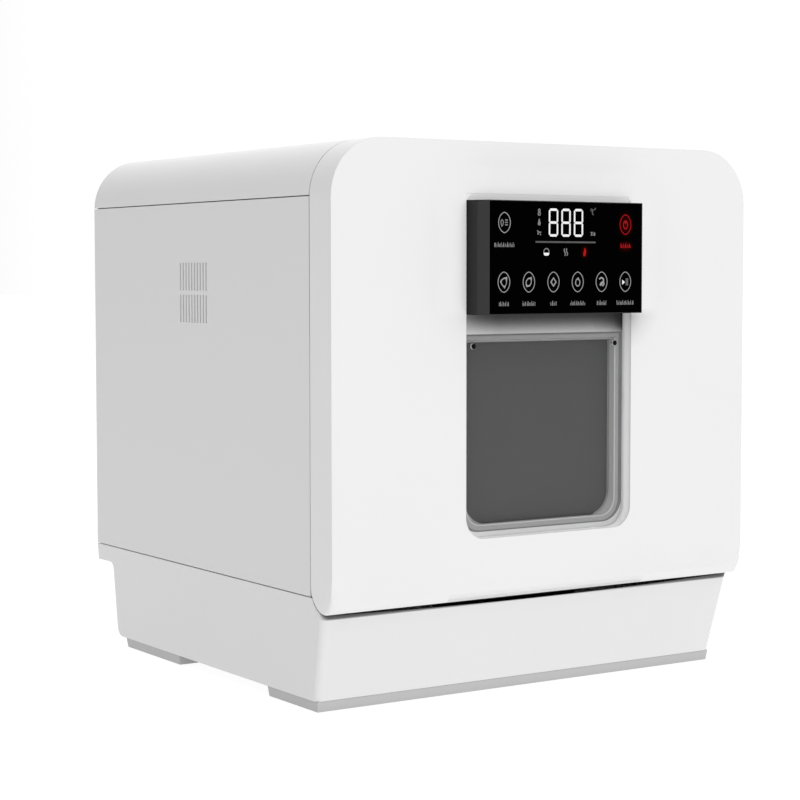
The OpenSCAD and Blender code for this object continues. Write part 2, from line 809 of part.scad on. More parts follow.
module water_tank() {
    color("aliceblue") difference() {
        union() {
            translate([0, tank_y, 0]) along_y(0, tank_d) round_rect(tank_w, tank_z, tank_top, 12);
            translate([fill_x, fill_y, tank_top - 1]) cylinder(h=8, r=neck_r + 5);
            translate([inlet_x, tank_mid_y, tank_z - 14]) cylinder(h=16, r=8);
        }
        along_y(tank_y + tank_t, tank_d - 2 * tank_t)
            round_rect(tank_w - 2 * tank_t, tank_z + tank_t, tank_top - tank_t, 12 - tank_t);
        translate([fill_x, fill_y, tank_top - 5]) cylinder(h=20, r=neck_r + 3);
        translate([inlet_x, tank_mid_y, tank_z - 20]) cylinder(h=30, r=6);
    }
}

module fill_funnel() {
    rim_z = body_h - wall - fit;
    cup_floor_z = rim_z - 22;
    neck_z = tank_top - 8;
    color("white") {
        difference() {
            translate([fill_x, fill_y, 0]) rotate_extrude($fn=96) polygon([
                [neck_r - 2, neck_z], [neck_r, neck_z], [neck_r, cup_floor_z - 4],
                [fill_r - 4, cup_floor_z + 4], [fill_r - 2, rim_z - 3], [fill_r + 5, rim_z - 3],
                [fill_r + 5, rim_z], [fill_r - 4, rim_z], [fill_r - 4, rim_z - 3],
                [fill_r - 6, cup_floor_z + 5.5], [neck_r - 2, cup_floor_z - 2.5]]);
            block([fill_x - 13, fill_y + fill_r - 3, rim_z - 8],
                [fill_x + 13, lid_hinge_y + 6, body_h]);
        }
        difference() {
            both_ears();
            translate([fill_x, lid_hinge_y, lid_hinge_z]) rotate([0, 90, 0])
                cylinder(h=60, r=1.5 + pin_gap, center=true);
        }
    }
}

// The two ears that carry the filling lid's pin, below the top cover
module both_ears() {
    rim_z = body_h - wall - fit;
    for (s = [-1, 1]) translate([fill_x + s * 17.2, 0, 0])
        block([-2.2, fill_y + fill_r - 6, rim_z - 8], [2.2, lid_hinge_y + 4, rim_z]);
}

module fill_lid() {
    color("white") {
        difference() {
            union() {
                translate([fill_x, fill_y, body_h - lid_t]) cylinder(h=lid_t, r=fill_r, $fn=96);
                block([fill_x - 12, fill_y + fill_r - 8, body_h - lid_t],
                    [fill_x + 12, lid_hinge_y, body_h]);
                translate([fill_x - 12, lid_hinge_y, lid_hinge_z]) rotate([0, 90, 0])
                    cylinder(h=24, r=body_h - lid_hinge_z - 0.1);
            }
            translate([fill_x, fill_y - fill_r - 2, body_h]) rotate([0, 90, 0])
                cylinder(h=26, r=5, center=true);
        }
        translate([fill_x - 19, lid_hinge_y, lid_hinge_z]) rotate([0, 90, 0]) cylinder(h=38, r=1.5);
    }
}

module blower_housing() {
    t = blower_in_x - blower_out_x - 1;
    x = blower_out_x + 1;
    color("dimgray") cross_cylinder(blower_in_x - 16, blower_y, blower_z, 15, 2);
    color("dimgray") difference() {
        union() {
            cross_cylinder(x, blower_y, blower_z, t, blower_r);
            block([x, duct_y - 12, blower_z - 14], [x + t, blower_y, blower_z + blower_r - 2]);
        }
        cross_cylinder(x + 2, blower_y, blower_z, t - 4, blower_r - 2);
        cross_cylinder(x - 1, blower_y, blower_z, t, rotor_r - 6);
        block([x + 2, duct_y - 10, blower_z - 12], [x + t - 2, blower_y - 10, blower_z + blower_r - 4]);
        cross_cylinder(x + t / 2, duct_y, blower_z, t, 10 + fit);
    }
}

module blower_rotor() {
    x = blower_out_x + 6;
    t = blower_in_x - blower_out_x - 12;
    color("black") {
        translate([x + t - 1.5, blower_y, blower_z]) rotate([0, 90, 0]) difference() {
            cylinder(h=1.5, r=rotor_r);
            translate([0, 0, -1]) cylinder(h=4, r=4);
        }
        difference() {
            cross_cylinder(x + t - 11, blower_y, blower_z, 11, 8);
            cross_cylinder(x + t - 12, blower_y, blower_z, 13, 2 + pin_gap);
        }
        translate([x, blower_y, blower_z]) rotate([0, 90, 0]) difference() {
            cylinder(h=2, r=rotor_r);
            translate([0, 0, -1]) cylinder(h=4, r=rotor_r - 4);
        }
        for (i = [0:blade_count - 1]) translate([x + 1, blower_y, blower_z])
            rotate([i * 360 / blade_count, 0, 0]) translate([0, 0, rotor_r - 3.6])
                cube([t - 1.5, 1, 3.2]);
    }
}

module air_duct() {
    color("white") difference() {
        union() {
            cross_cylinder(blower_in_x - 10, duct_y, blower_z, 15 + tub_t + 3, 10 - 0.1);
            cross_cylinder(-tub_w / 2, duct_y, blower_z, 4, 15);
        }
        cross_cylinder(blower_in_x - 12, duct_y, blower_z, 16 + tub_t, 7.5);
        for (z = [-9:4.5:9]) translate([-tub_w / 2, duct_y, blower_z + z])
            cube([12, 20, 1.8], center=true);
    }
}

module feed_pipe() {
    run_z = tub_top + tub_t + pipe_r + 1;
    out_x = volute_x + volute_t / 2;
    out_y = wash_y + volute_r - 9;
    tee_z = wash_z + 52;
    low_z = tub_z - tub_t - 12;
    color("lightgray") difference() {
        union() {
            bar([out_x, out_y, wash_z + 40 + fit], [out_x, out_y, tee_z], pipe_r - 1);
            pipe([[out_x, out_y, tee_z], [out_x, pipe_y, tee_z], [out_x, pipe_y, run_z],
                [0, pipe_y, run_z], [0, tub_mid_y, run_z]], pipe_r - 1);
            pipe([[0, tub_mid_y, low_z + 4], [0, tub_mid_y, tee_z], [out_x, out_y, tee_z],
                [out_x, pipe_y, tee_z]], pipe_r - 1);
            translate([0, tub_mid_y, upper_arm_z - 4]) cylinder(h=run_z - upper_arm_z + 4, r=spigot_r);
            translate([0, tub_mid_y, low_z]) cylinder(h=lower_arm_z + 9 - low_z, r=spigot_r);
            translate([0, tub_mid_y, tub_z]) cylinder(h=3, r=spigot_r + 5);
        }
        translate([0, tub_mid_y, upper_arm_z - 5]) cylinder(h=run_z - upper_arm_z, r=spigot_r - 2);
        translate([0, tub_mid_y, low_z + 2]) cylinder(h=60, r=spigot_r - 2);
    }
}

// Half of a spray arm: a flat tapered blade from the hub to a round tip
module arm_blade(reach, z) {
    hull() {
        translate([hub_r - 2, 0, z]) cylinder(h=arm_t, r=12, $fn=32);
        translate([reach - 9, 0, z + 2]) cylinder(h=arm_t - 4, r=9, $fn=32);
    }
}

// Spray holes along one blade, each leaning a little to drive the arm round
module spray_holes(reach, z, lean) {
    for (i = [0:4]) translate([hub_r + 14 + i * (reach - hub_r - 34) / 4, 0, z])
        rotate([lean, 0, 0]) cylinder(h=arm_t * 3, r=1.4, center=true);
}

module lower_arm() {
    z = lower_arm_z;
    color("lightgray") translate([0, tub_mid_y, 0]) difference() {
        union() {
            for (a = [0, 180]) rotate(a) arm_blade(lower_reach, z);
            translate([0, 0, z - 5]) cylinder(h=arm_t + 7, r=hub_r);
        }
        translate([0, 0, z - 6]) cylinder(h=16.5, r=spigot_r + fit);
        for (a = [0, 180]) rotate(a) spray_holes(lower_reach, z + arm_t, 20);
    }
}

module upper_arm() {
    z = upper_arm_z;
    color("lightgray") translate([0, tub_mid_y, 0]) difference() {
        union() {
            for (a = [40, 220]) rotate(a) arm_blade(upper_reach, z);
            translate([0, 0, z - 8]) cylinder(h=arm_t + 9, r=hub_r);
        }
        translate([0, 0, z - 4.5]) cylinder(h=arm_t + 10, r=spigot_r + fit);
        for (a = [40, 220]) rotate(a) spray_holes(upper_reach, z, -20);
    }
}

module hinge_brackets() {
    end_y = case_y + frame_t + 30;
    color("silver") both_sides() {
        difference() {
            along_x(ear_x - ear_t / 2, ear_t) {
                translate([hinge_y, hinge_z]) circle(ear_r);
                translate([hinge_y, hinge_z - ear_arm]) square([end_y - hinge_y, 2 * ear_arm]);
                translate([case_y + frame_t + fit, hinge_z - ear_r])
                    square([end_y - case_y - frame_t - fit, 55]);
            }
            cross_cylinder(ear_x - 10, hinge_y, hinge_z, 20, pin_r + pin_gap);
        }
        block([ear_x - 14, case_y + frame_t + fit, hinge_z + ear_r + 4],
            [ear_x - ear_t / 2 + eps, case_y + frame_t + fit + 2.5, hinge_z - ear_r + 55]);
    }
}

module hinge_yokes() {
    inner = ear_x - ear_t / 2 - cheek_gap - cheek_t;
    outer = ear_x + ear_t / 2 + cheek_gap;
    low = hinge_z - ear_r;
    high = hinge_z + ear_r + 16;
    front = hinge_y - ear_r;
    back = door_back_y - liner_t;
    color("silver") both_sides() {
        for (x = [inner, outer]) {
            block([x, front, low], [x + cheek_t, hinge_y + ear_r, high]);
            block([x, hinge_y, hinge_z + 1], [x + cheek_t, back, high]);
        }
        block([inner, front, high - 5], [outer + cheek_t, back, high]);
        cross_cylinder(inner, hinge_y, hinge_z, outer + cheek_t - inner, pin_r);
    }
}

module door_latch() {
    y = case_y + frame_t + fit;
    x = strike_w / 2 + 5;
    color("white") difference() {
        block([-x, y, strike_z - 5], [x, y + 30, strike_z + strike_t + 7]);
        block([-strike_w / 2 - 1, y - 1, strike_z - 1],
            [strike_w / 2 + 1, y + 26, strike_z + strike_t + 3]);
    }
}

module latch_strike() {
    color("silver") difference() {
        union() {
            block([-strike_w / 2, door_back_y - liner_t - 2.5, strike_z],
                [strike_w / 2, case_y + frame_t + 14, strike_z + strike_t]);
            block([-strike_w / 2 - 6, door_back_y - liner_t - 2.5, strike_z - 8],
                [strike_w / 2 + 6, door_back_y - liner_t, strike_z + strike_t + 4]);
        }
        translate([0, case_y + frame_t + 7, strike_z - 1]) cylinder(h=strike_t + 2, r=3.2);
    }
}

module power_board() {
    x = tub_w / 2 - 7 - board_w;
    y = tub_y + 20;
    z = tub_top + tub_t + 5;
    top = z + board_t;
    color("darkgreen") block([x, y, z], [x + board_w, y + board_d, top]);
    color("dimgray") {
        for (px = [x + 7, x + board_w - 7], py = [y + 8, y + board_d - 8])
            translate([px, py, tub_top + tub_t]) cylinder(h=5, r=3);
        block([x + 15, y + 20, top], [x + 45, y + 50, z + 18]);
        block([x + 57, y + 20, top], [x + 73, y + 40, z + 14]);
        block([x + 15, y + 80, top], [x + 85, y + 110, z + 12]);
        translate([x + 93, y + 50, top]) cylinder(h=16, r=8);
    }
}

module inner_hoses() {
    top_z = outlet_end_z - fit;
    from_y = sump_y + outlet_back;
    side_x = drain_x + drain_len + 28;
    end_y = base_back_y - wall - 6 - fit;
    color("gray") {
        pipe([[-outlet_x, from_y, top_z], [-outlet_x, from_y, wash_z],
            [-outlet_x, wash_y, wash_z], [volute_x - 14 - fit, wash_y, wash_z]], pipe_r);
        pipe([[outlet_x, from_y, top_z], [outlet_x, from_y, floor_z + 12],
            [side_x, from_y + 34, floor_z + 12], [side_x, drain_y, drain_z],
            [drain_x + drain_len + 14 + fit, drain_y, drain_z]], 6);
        pipe([[drain_x + drain_len - 12, drain_y + drain_r + 15 + fit, drain_z],
            [drain_x + drain_len - 12, drain_y + drain_r + 60, drain_z],
            [drain_x, base_back_y - 40, outlet_z], [drain_x, end_y, outlet_z]], 6);
        pipe([[inlet_x, end_y, outlet_z], [inlet_x, tank_mid_y - 8, outlet_z],
            [inlet_x, tank_mid_y, outlet_z + 20], [inlet_x, tank_mid_y, tank_z - 14 - fit]], 6);
    }
}

// A round fitting through the rear wall of the base, with a flange on each side
module rear_fitting(x, r, length, bore_r) {
    translate([x, base_back_y, outlet_z]) rotate([-90, 0, 0]) difference() {
        union() {
            cylinder(h=length, r=r);
            cylinder(h=3, r=r + 5);
            translate([0, 0, -wall - 6]) cylinder(h=wall + 6 + eps, r=8 - 0.1);
        }
        translate([0, 0, -wall - 7]) cylinder(h=length + wall + 20, r=bore_r);
    }
}

module drain_outlet() {
    color("gray") rear_fitting(drain_x, drain_spigot_r, spigot_len, 6.5);
}

module water_inlet() {
    color("gray") rear_fitting(inlet_x, inlet_r, spigot_len - 4, 6.5);
}

module cord_gland() {
    color("dimgray") rear_fitting(gland_x, 9, 12, 3.6);
}

module cabinet_screws() {
    color("silver") for (s = [-1, 1], z = screw_rows) translate([s * (side_in - 8), 0, z])
        rotate([-90, 0, 0]) difference() {
            union() {
                translate([0, 0, rear_y + 1.5]) cylinder(h=1.5, r=3.6);
                translate([0, 0, rear_y - 8]) cylinder(h=10, r=1.6);
            }
            translate([0, 0, rear_y + 3]) for (a = [0, 90]) rotate(a) cube([4, 0.9, 1.6], center=true);
        }
}

module roller_axles() {
    color("silver") for (y = roller_y, s = [-1, 1]) {
        translate([s * (tub_w / 2 - 0.6), y, roller_z]) rotate([0, 90, 0])
            cylinder(h=1.2, r=5, center=true);
        end = tub_w / 2 + tub_t + 3;
        cross_cylinder(s > 0 ? roller_x : -end, y, roller_z, end - roller_x, 2.5);
    }
}

// One rack roller on its axle
module roller(side, y) {
    x = side > 0 ? roller_x : -roller_x - roller_w;
    color("white") difference() {
        cross_cylinder(x, y, roller_z, roller_w, roller_r);
        cross_cylinder(x - 1, y, roller_z, roller_w + 2, 2.5 + pin_gap);
    }
}

module roller_front_left() { roller(-1, roller_y[0]); }
module roller_front_right() { roller(1, roller_y[0]); }
module roller_rear_left() { roller(-1, roller_y[1]); }
module roller_rear_right() { roller(1, roller_y[1]); }

// Flat front view of the door at one depth: its lower edge lifted, its lower corners round
function door_outline(lift, r) = let (half = body_w / 2, low = door_z + lift) concat(
    arc(-half + r, low + r, r, 180, 270, 4), arc(half - r, low + r, r, 270, 360, 4),
    arc(half - corner_r, body_h - corner_r, corner_r, 0, 90, 16),
    arc(-half + corner_r, body_h - corner_r, corner_r, 90, 180, 16));

// The door's full form: a flat face with a rolled lower edge, round about the hinge behind
module door_form() {
    slice = 0.2;
    corner = 1.5;
    intersection() {
        hull() {
            for (i = [0:3]) {
                a = 90 * i / 3;
                k = 1 - sin(a);
                along_y(front_y + roll_d * (1 - cos(a)), slice)
                    polygon(door_outline(roll_h * k, corner + face_r * k));
            }
            along_y(door_back_y - slice, slice) polygon(door_outline(0, corner));
        }
        along_x(-body_w / 2 - 1, body_w + 2) {
            translate([front_y - 1, hinge_z]) square([door_t + 2, body_h]);
            translate([front_y - 1, door_z - 1]) square([hinge_y - front_y + 1, hinge_r + 2]);
            translate([hinge_y, hinge_z]) circle(hinge_r, $fn=96);
        }
    }
}

// The hollow inside the door's shell
module door_cavity() {
    low = door_z + wall;
    face_y = front_y + wall;
    depth = door_t - 2 * wall;
    intersection() {
        along_y(face_y, depth) arch(2 * side_in, low, body_h - wall, corner_r - wall);
        along_y(face_y - 1, depth + 2) sill(2 * side_in, low, body_h, face_r + 6);
        union() {
            block([-body_w, face_y - 1, low + roll_h + 8], [body_w, hinge_y, body_h]);
            block([-body_w, face_y - 1, hinge_z], [body_w, door_back_y, body_h]);
            translate([0, hinge_y, hinge_z]) rotate([0, 90, 0])
                cylinder(h=2 * body_w, r=hinge_r - wall, center=true, $fn=96);
        }
    }
}

module door_outer() {
    pocket_y = recess_d + wall;
    color(cabinet_colour) difference() {
        union() {
            difference() {
                door_form();
                door_cavity();
                along_y(door_back_y - wall - 1, wall + 2)
                    arch(2 * side_in, hinge_z, body_h - wall, corner_r - wall);
            }
            both_sides() for (p = door_screw_places())
                translate([p[0], front_y + wall - eps, p[1]]) rotate([-90, 0, 0])
                    cylinder(h=door_t - wall - liner_t - fit, r=4.5);
            along_y(front_y + wall - eps, pocket_y - wall)
                sill(recess_w + 2 * wall, recess_z - wall, recess_top + wall, recess_r + wall);
        }
        along_y(front_y - 1, recess_d + 1) sill(recess_w, recess_z, recess_top, recess_r);
        along_y(front_y, pocket_y + 1)
            sill(window_w + 5, window_z - 2.5, window_top + 2.5, 12);
        block([-30, front_y, panel_z + 55], [30, front_y + pocket_y + 1, panel_z + 75]);
        both_sides() for (p = door_screw_places())
            translate([p[0], door_back_y - liner_t - 12, p[1]]) rotate([-90, 0, 0])
                cylinder(h=20, r=1.6);
        both_sides() block([ear_x - ear_t / 2 - 1, hinge_y - ear_arm - 0.6, door_z - 5],
            [ear_x + ear_t / 2 + 1, door_back_y + 1, hinge_z + ear_arm + 1]);
    }
}

module door_inner() {
    rim = wall + fit;
    dish_in = 2 * liner_t;
    color("white") difference() {
        union() {
            along_y(door_back_y - liner_t, liner_t) difference() {
                arch(body_w - 2 * rim, hinge_z + fit, body_h - rim, corner_r - rim);
                round_rect(dish_w, dish_z, dish_top, dish_r);
            }
            along_y(dish_y, dish_d + liner_t) difference() {
                round_rect(dish_w + dish_in, dish_z - liner_t, dish_top + liner_t, dish_r + liner_t);
                round_rect(dish_w, dish_z, dish_top, dish_r);
            }
            along_y(dish_y, liner_t)
                round_rect(dish_w + eps, dish_z - eps, dish_top + eps, dish_r);
        }
        along_y(dish_y - 1, liner_t + 2) sill(window_w, window_z, window_top, 12);
        block([-cup_w / 2 - fit, dish_y - 1, cup_z - fit],
            [cup_w / 2 + fit, door_back_y, cup_z + cup_h + fit]);
        ear_slots(door_back_y - liner_t - 1, door_back_y + 1);
        block([-strike_w / 2 - fit, door_back_y - liner_t - 1, strike_z - fit],
            [strike_w / 2 + fit, door_back_y + 1, strike_z + strike_t + fit]);
        both_sides() for (p = door_screw_places()) translate([p[0], door_back_y - liner_t, p[1]])
            rotate([-90, 0, 0]) {
                translate([0, 0, -1]) cylinder(h=2, r=1.8);
                translate([0, 0, 0.4]) cylinder(h=2, r=3.2);
            }
    }
}

module window_bezel() {
    rim_r = recess_r - 3;
    color(cabinet_colour) difference() {
        union() {
            along_y(bezel_y, bezel_proud) sill(bezel_w, bezel_z, bezel_top, rim_r);
            along_y(bezel_y + bezel_proud - eps, sleeve_d - bezel_proud)
                sill(window_w + 4, window_z - 2, window_top + 2, 12);
        }
        difference() {
            along_y(bezel_y - 1, sleeve_d + 2) sill(window_w, window_z, window_top, 12);
            for (s = [-1, 1]) translate([s * screw_x(), bezel_y + pane_t + fit, screw_z()])
                rotate([-90, 0, 0]) cylinder(h=sleeve_d, r=3.4);
        }
        along_y(bezel_y - 1, pane_t + fit + 1)
            sill(pane_w() + 2 * fit, pane_z() - fit, pane_top() + fit, 13.5);
        for (s = [-1, 1]) translate([s * screw_x(), bezel_y, screw_z()])
            rotate([-90, 0, 0]) cylinder(h=sleeve_d - 1, r=0.9);
    }
}

function pane_w() = window_w + 5;
function pane_z() = window_z - 2.4;
function pane_top() = window_top + 2.4;
function screw_x() = window_w / 2 - 2;
function screw_z() = window_top - 3;

module outer_pane() {
    color("lightcyan", 0.4) difference() {
        along_y(bezel_y + fit, pane_t) sill(pane_w(), pane_z(), pane_top(), 13.2);
        for (s = [-1, 1]) translate([s * screw_x(), bezel_y - 1, screw_z()])
            rotate([-90, 0, 0]) cylinder(h=10, r=1.2);
    }
}

module window_screws() {
    color("black") for (s = [-1, 1]) translate([s * screw_x(), bezel_y, screw_z()])
        rotate([-90, 0, 0]) {
            translate([0, 0, fit - 0.8]) cylinder(h=0.8, r=screw_r);
            cylinder(h=pane_t + 4, r=0.85);
        }
}

module window_seal() {
    y = sleeve_end_y + 0.1;
    color("dimgray") along_y(y, dish_y - inner_pane_t - y) difference() {
        sill(window_w + 9, window_z - 4.5, window_top + 4.5, 14);
        sill(window_w + 0.4, window_z - 0.2, window_top + 0.2, 12);
    }
}

module inner_pane() {
    color("darkslategray", 0.6) along_y(dish_y - inner_pane_t, inner_pane_t)
        sill(window_w + 14, window_z - 7, window_top + 7, 12);
}

// Where the liner's screws stand, on the right
function door_screw_places() = [for (z = [dish_z + 20, (dish_z + dish_top) / 2, dish_top - 20])
    [body_w / 2 - 22, z]];

module door_screws() {
    color("silver") both_sides() for (p = door_screw_places())
        translate([p[0], door_back_y - liner_t, p[1]]) rotate([-90, 0, 0]) {
            translate([0, 0, -8]) cylinder(h=8.4, r=1.5);
            difference() {
                translate([0, 0, 0.4]) cylinder(h=1.6, r=3);
                for (a = [0, 90]) rotate(a) translate([0, 0, 2]) cube([3.6, 0.8, 1.4], center=true);
            }
        }
}

// Plan of the control housing: straight sides and chamfered front edges
module panel_plan(y1) {
    chamfer_y = panel_front_y + panel_chamfer_d;
    polygon([[-panel_face_w / 2, panel_front_y], [panel_face_w / 2, panel_front_y],
        [panel_w / 2, chamfer_y], [panel_w / 2, y1], [-panel_w / 2, y1], [-panel_w / 2, chamfer_y]]);
}

module control_housing() {
    y0 = panel_front_y + glass_t;
    y1 = front_y + recess_d;
    grip_y = y1 - grip_d;
    color("black") difference() {
        translate([0, 0, panel_z]) linear_extrude(panel_h) panel_plan(y1);
        glass_plate(0, panel_front_y - 1, glass_t + 1);
        block([-panel_face_w / 2 + 4, y0 - 1, panel_z + 3],
            [panel_face_w / 2 - 4, grip_y - 2, panel_z + panel_h - 3]);
        block([-panel_w / 2 + 6, grip_y, panel_z - 1], [panel_w / 2 - 6, y1 + 1, panel_z + grip_h]);
        block([-panel_w / 2 + 5, grip_y - 3, panel_z + grip_h + wall],
            [panel_w / 2 - 5, y1 - wall, panel_z + panel_h - 3]);
        block([-20, grip_y - 4, panel_z + 58], [20, y1 + 1, panel_z + 72]);
    }
}

// The touch glass's place in the housing, with a gap all round
module glass_plate(gap, y, depth) {
    x = panel_face_w / 2 - glass_lip - gap;
    z = panel_z + glass_lip + gap;
    block([-x, y, z], [x, y + depth, 2 * panel_z + panel_h - z]);
}

module touch_glass() {
    color("black") glass_plate(0.1, panel_front_y + glass_set, glass_t - glass_set - eps);
}

module display_board() {
    y = panel_front_y + glass_t + 7;
    z = panel_z + panel_h / 2;
    color("darkgreen") translate([0, y + board_t / 2, z])
        cube([panel_face_w - 12, board_t, panel_h - 10], center=true);
    color("dimgray") {
        block([-24, panel_front_y + glass_t + 0.6, z + 10], [24, y + eps, z + 38]);
        for (i = [-2.5:2.5]) translate([i * 25, y + eps, panel_z + 26]) rotate([90, 0, 0])
            cylinder(h=6.2, r=7);
    }
}

module detergent_cup() {
    y1 = cup_lid_y - fit;
    x = cup_w / 2;
    color("gray") difference() {
        union() {
            block([-x, cup_y, cup_z], [x, y1, cup_z + cup_h]);
            block([-x, y1 - 3, cup_z - 5], [x, cup_lid_y + cup_lid_t + 1.6, cup_z + 3]);
            block([-x, y1 - 3, cup_z + cup_h - 3], [x, cup_lid_y + cup_lid_t + 1.6, cup_z + cup_h + 5]);
        }
        block([-x + cup_wall, cup_y + cup_wall, cup_z + 4],
            [-x + cup_wall + cup_well_w - 4, y1 + 1, cup_z + cup_h - 4]);
        block([-x - 1, y1, cup_z + 0.6], [x + 1, cup_lid_y + cup_lid_t + fit, cup_z + cup_h - 0.6]);
    }
}

module detergent_lid() {
    x = -cup_w / 2;
    z0 = cup_z + 1.2;
    z1 = cup_z + cup_h - 1.2;
    color("gray") {
        block([x + 0.4, cup_lid_y, z0], [x + cup_well_w + 2, cup_lid_y + cup_lid_t, z1]);
        block([x + cup_well_w - 6, cup_lid_y + cup_lid_t - eps, cup_z + 12],
            [x + cup_well_w - 2, cup_lid_y + cup_lid_t + 3, cup_z + cup_h - 12]);
    }
}

// A closed wire hoop with four round corners, lying flat at height z
module wire_hoop(x, y0, y1, z, r, wire) {
    for (s = [-1, 1]) bar([s * x, y0 + r, z], [s * x, y1 - r, z], wire);
    for (y = [y0, y1]) bar([-x + r, y, z], [x - r, y, z], wire);
    for (c = [[x - r, y1 - r, 0], [-x + r, y1 - r, 90], [-x + r, y0 + r, 180], [x - r, y0 + r, 270]])
        translate([c[0], c[1], z]) rotate(c[2]) rotate_extrude(angle=90) translate([r, 0]) circle(wire);
}

// A basket wire: flat along the floor and bent up at both ends, drawn along X
module basket_wire(half, z0, z1, r, wire) {
    bar([-half + r, 0, z0], [half - r, 0, z0], wire);
    for (s = [0, 1]) mirror([s, 0, 0]) {
        bar([half, 0, z0 + r], [half, 0, z1], wire);
        translate([half - r, 0, z0 + r]) rotate([90, 0, 0]) rotate([0, 0, -90])
            rotate_extrude(angle=90) translate([r, 0]) circle(wire);
    }
}

module rack_frame() {
    half = rack_w / 2;
    y1 = rack_y + rack_d;
    mid_y = rack_y + rack_d / 2;
    z_cross = rack_z + wire_r;
    z_long = z_cross + 2 * wire_r - 0.6;
    lap = 0.6;
    z_tine = z_cross + 2 * wire_r - lap;
    tine_rows = [-96, 24];
    color("gainsboro") {
        wire_hoop(half, rack_y, y1, rack_top, 16, rim_wire_r);
        for (i = [0:cross_wires - 1])
            translate([0, rack_y + 20 + i * (rack_d - 40) / (cross_wires - 1), 0])
                basket_wire(half - rim_wire_r - wire_r + lap, z_cross, rack_top, bend_r, wire_r);
        for (i = [0:long_wires - 1])
            translate([-half + 24 + i * (rack_w - 48) / (long_wires - 1), mid_y, 0]) rotate(90)
                basket_wire(rack_d / 2 - rim_wire_r - wire_r + lap, z_long, rack_top, bend_r, wire_r);
        for (x = tine_rows) {
            bar([x, rack_y + 24, z_tine], [x, y1 - 24, z_tine], wire_r);
            for (y = [rack_y + 36 : tine_pitch : y1 - 30])
                translate([x, y, z_cross + wire_r]) cylinder(h=tine_h, r=wire_r);
        }
        both_sides() rack_rail();
    }
}

// The channel along each side of the rack that runs on the rollers
module rack_rail() {
    y0 = rack_y + 6;
    y1 = rack_y + rack_d - 6;
    z0 = roller_z - roller_r - fit;
    z1 = roller_z + roller_r + fit;
    x1 = roller_x + roller_w + rail_gap;
    block([rail_x, y0, z0 - 1.5], [rail_x + rail_t, y1, z1 + 1.5]);
    block([rail_x, y0, z0 - 1.5], [x1, y1, z0]);
    block([rail_x, y0, z1], [x1, y1, z1 + 1.5]);
}

module cutlery_basket() {
    x1 = rack_w / 2 - 12;
    x0 = x1 - basket_w;
    y0 = rack_y + 24;
    y1 = y0 + basket_d;
    z0 = rack_z + 4 * wire_r + 0.3;
    z1 = rack_top + 22;
    bay = (basket_d - 2) / 3;
    step = (basket_d - 20) / 8;
    color("lightgray") difference() {
        block([x0, y0, z0], [x1, y1, z1]);
        for (i = [0:2])
            block([x0 + 2, y0 + 2 + i * bay, z0 + 2], [x1 - 2, y0 + (i + 1) * bay, z1 + 1]);
        for (i = [0:8], k = [0:2])
            translate([(x0 + x1) / 2, y0 + 10 + i * step, z0 + 20 + k * 28])
                cube([basket_w + 4, 6, 20], center=true);
        for (i = [0:4], k = [0:2]) translate([x0 + 12 + i * 14, (y0 + y1) / 2, z0 + 20 + k * 28])
            cube([7, basket_d + 4, 20], center=true);
    }
}

base_shell();
base_plate();
front_foot_rail();
rear_foot_rail();
foot_pads();
left_panel();
right_panel();
top_cover();
rear_panel();
tub();
tub_front_frame();
door_gasket();
sump();
filter_cup();
filter_plate();
heater_ring();
wash_pump_housing();
wash_pump_motor();
wash_impeller();
drain_pump_housing();
drain_impeller();
water_tank();
fill_funnel();
fill_lid();
blower_housing();
blower_rotor();
air_duct();
feed_pipe();
hinge_brackets();
door_latch();
power_board();
inner_hoses();
drain_outlet();
water_inlet();
cord_gland();
cabinet_screws();
roller_axles();
roller_front_left();
roller_front_right();
roller_rear_left();
roller_rear_right();
door_outer();
door_inner();
window_bezel();
outer_pane();
inner_pane();
window_seal();
window_screws();
control_housing();
touch_glass();
display_board();
door_screws();
hinge_yokes();
latch_strike();
detergent_cup();
detergent_lid();
rack_frame();
cutlery_basket();
lower_arm();
upper_arm();
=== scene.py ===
# %% [markdown]
# # A countertop dishwasher, dressed from its CAD frame
#
# The machine is a white cabinet, about 42 cm wide, with a drop-down door, a black touch panel, a small
# window and two steel rails for feet. Its construction comes ready made as a frame of solids. This
# lesson adds what a solid can't say: how each surface was made and what light does on it, the lit marks
# on the touch panel, and the camera and studio that the photograph was taken in.

# %% Load the frame
import math

import bpy
import numpy as np
from mathutils import Matrix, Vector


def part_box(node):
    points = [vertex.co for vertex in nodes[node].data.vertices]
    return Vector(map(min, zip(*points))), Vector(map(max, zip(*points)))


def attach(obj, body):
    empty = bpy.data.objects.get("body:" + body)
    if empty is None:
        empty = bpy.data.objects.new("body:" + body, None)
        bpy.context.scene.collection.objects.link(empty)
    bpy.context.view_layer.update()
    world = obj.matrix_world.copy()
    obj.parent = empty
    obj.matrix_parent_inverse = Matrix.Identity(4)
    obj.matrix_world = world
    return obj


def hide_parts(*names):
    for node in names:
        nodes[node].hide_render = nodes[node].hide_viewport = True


MM = 0.001
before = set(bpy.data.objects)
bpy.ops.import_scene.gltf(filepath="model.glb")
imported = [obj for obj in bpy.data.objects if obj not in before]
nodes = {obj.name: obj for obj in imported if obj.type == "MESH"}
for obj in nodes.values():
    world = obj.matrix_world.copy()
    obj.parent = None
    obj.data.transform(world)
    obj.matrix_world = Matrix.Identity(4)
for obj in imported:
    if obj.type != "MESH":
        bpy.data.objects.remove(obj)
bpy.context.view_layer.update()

# %% [markdown]
# ## Camera
#
# A long lens from a little above the middle of the machine keeps the sides nearly parallel, as a
# catalogue picture does. The lens and the place were worked out from the straight edges in the
# photograph, so the same corner of the machine falls on the same part of the picture.

# %% Camera
LENS_MM = 91.81
CAMERA_PLACE = (-1.0170, -1.5273, 0.3454)
YAW_DEG, PITCH_DEG, ROLL_DEG = 33.243, 3.5575, -0.0555

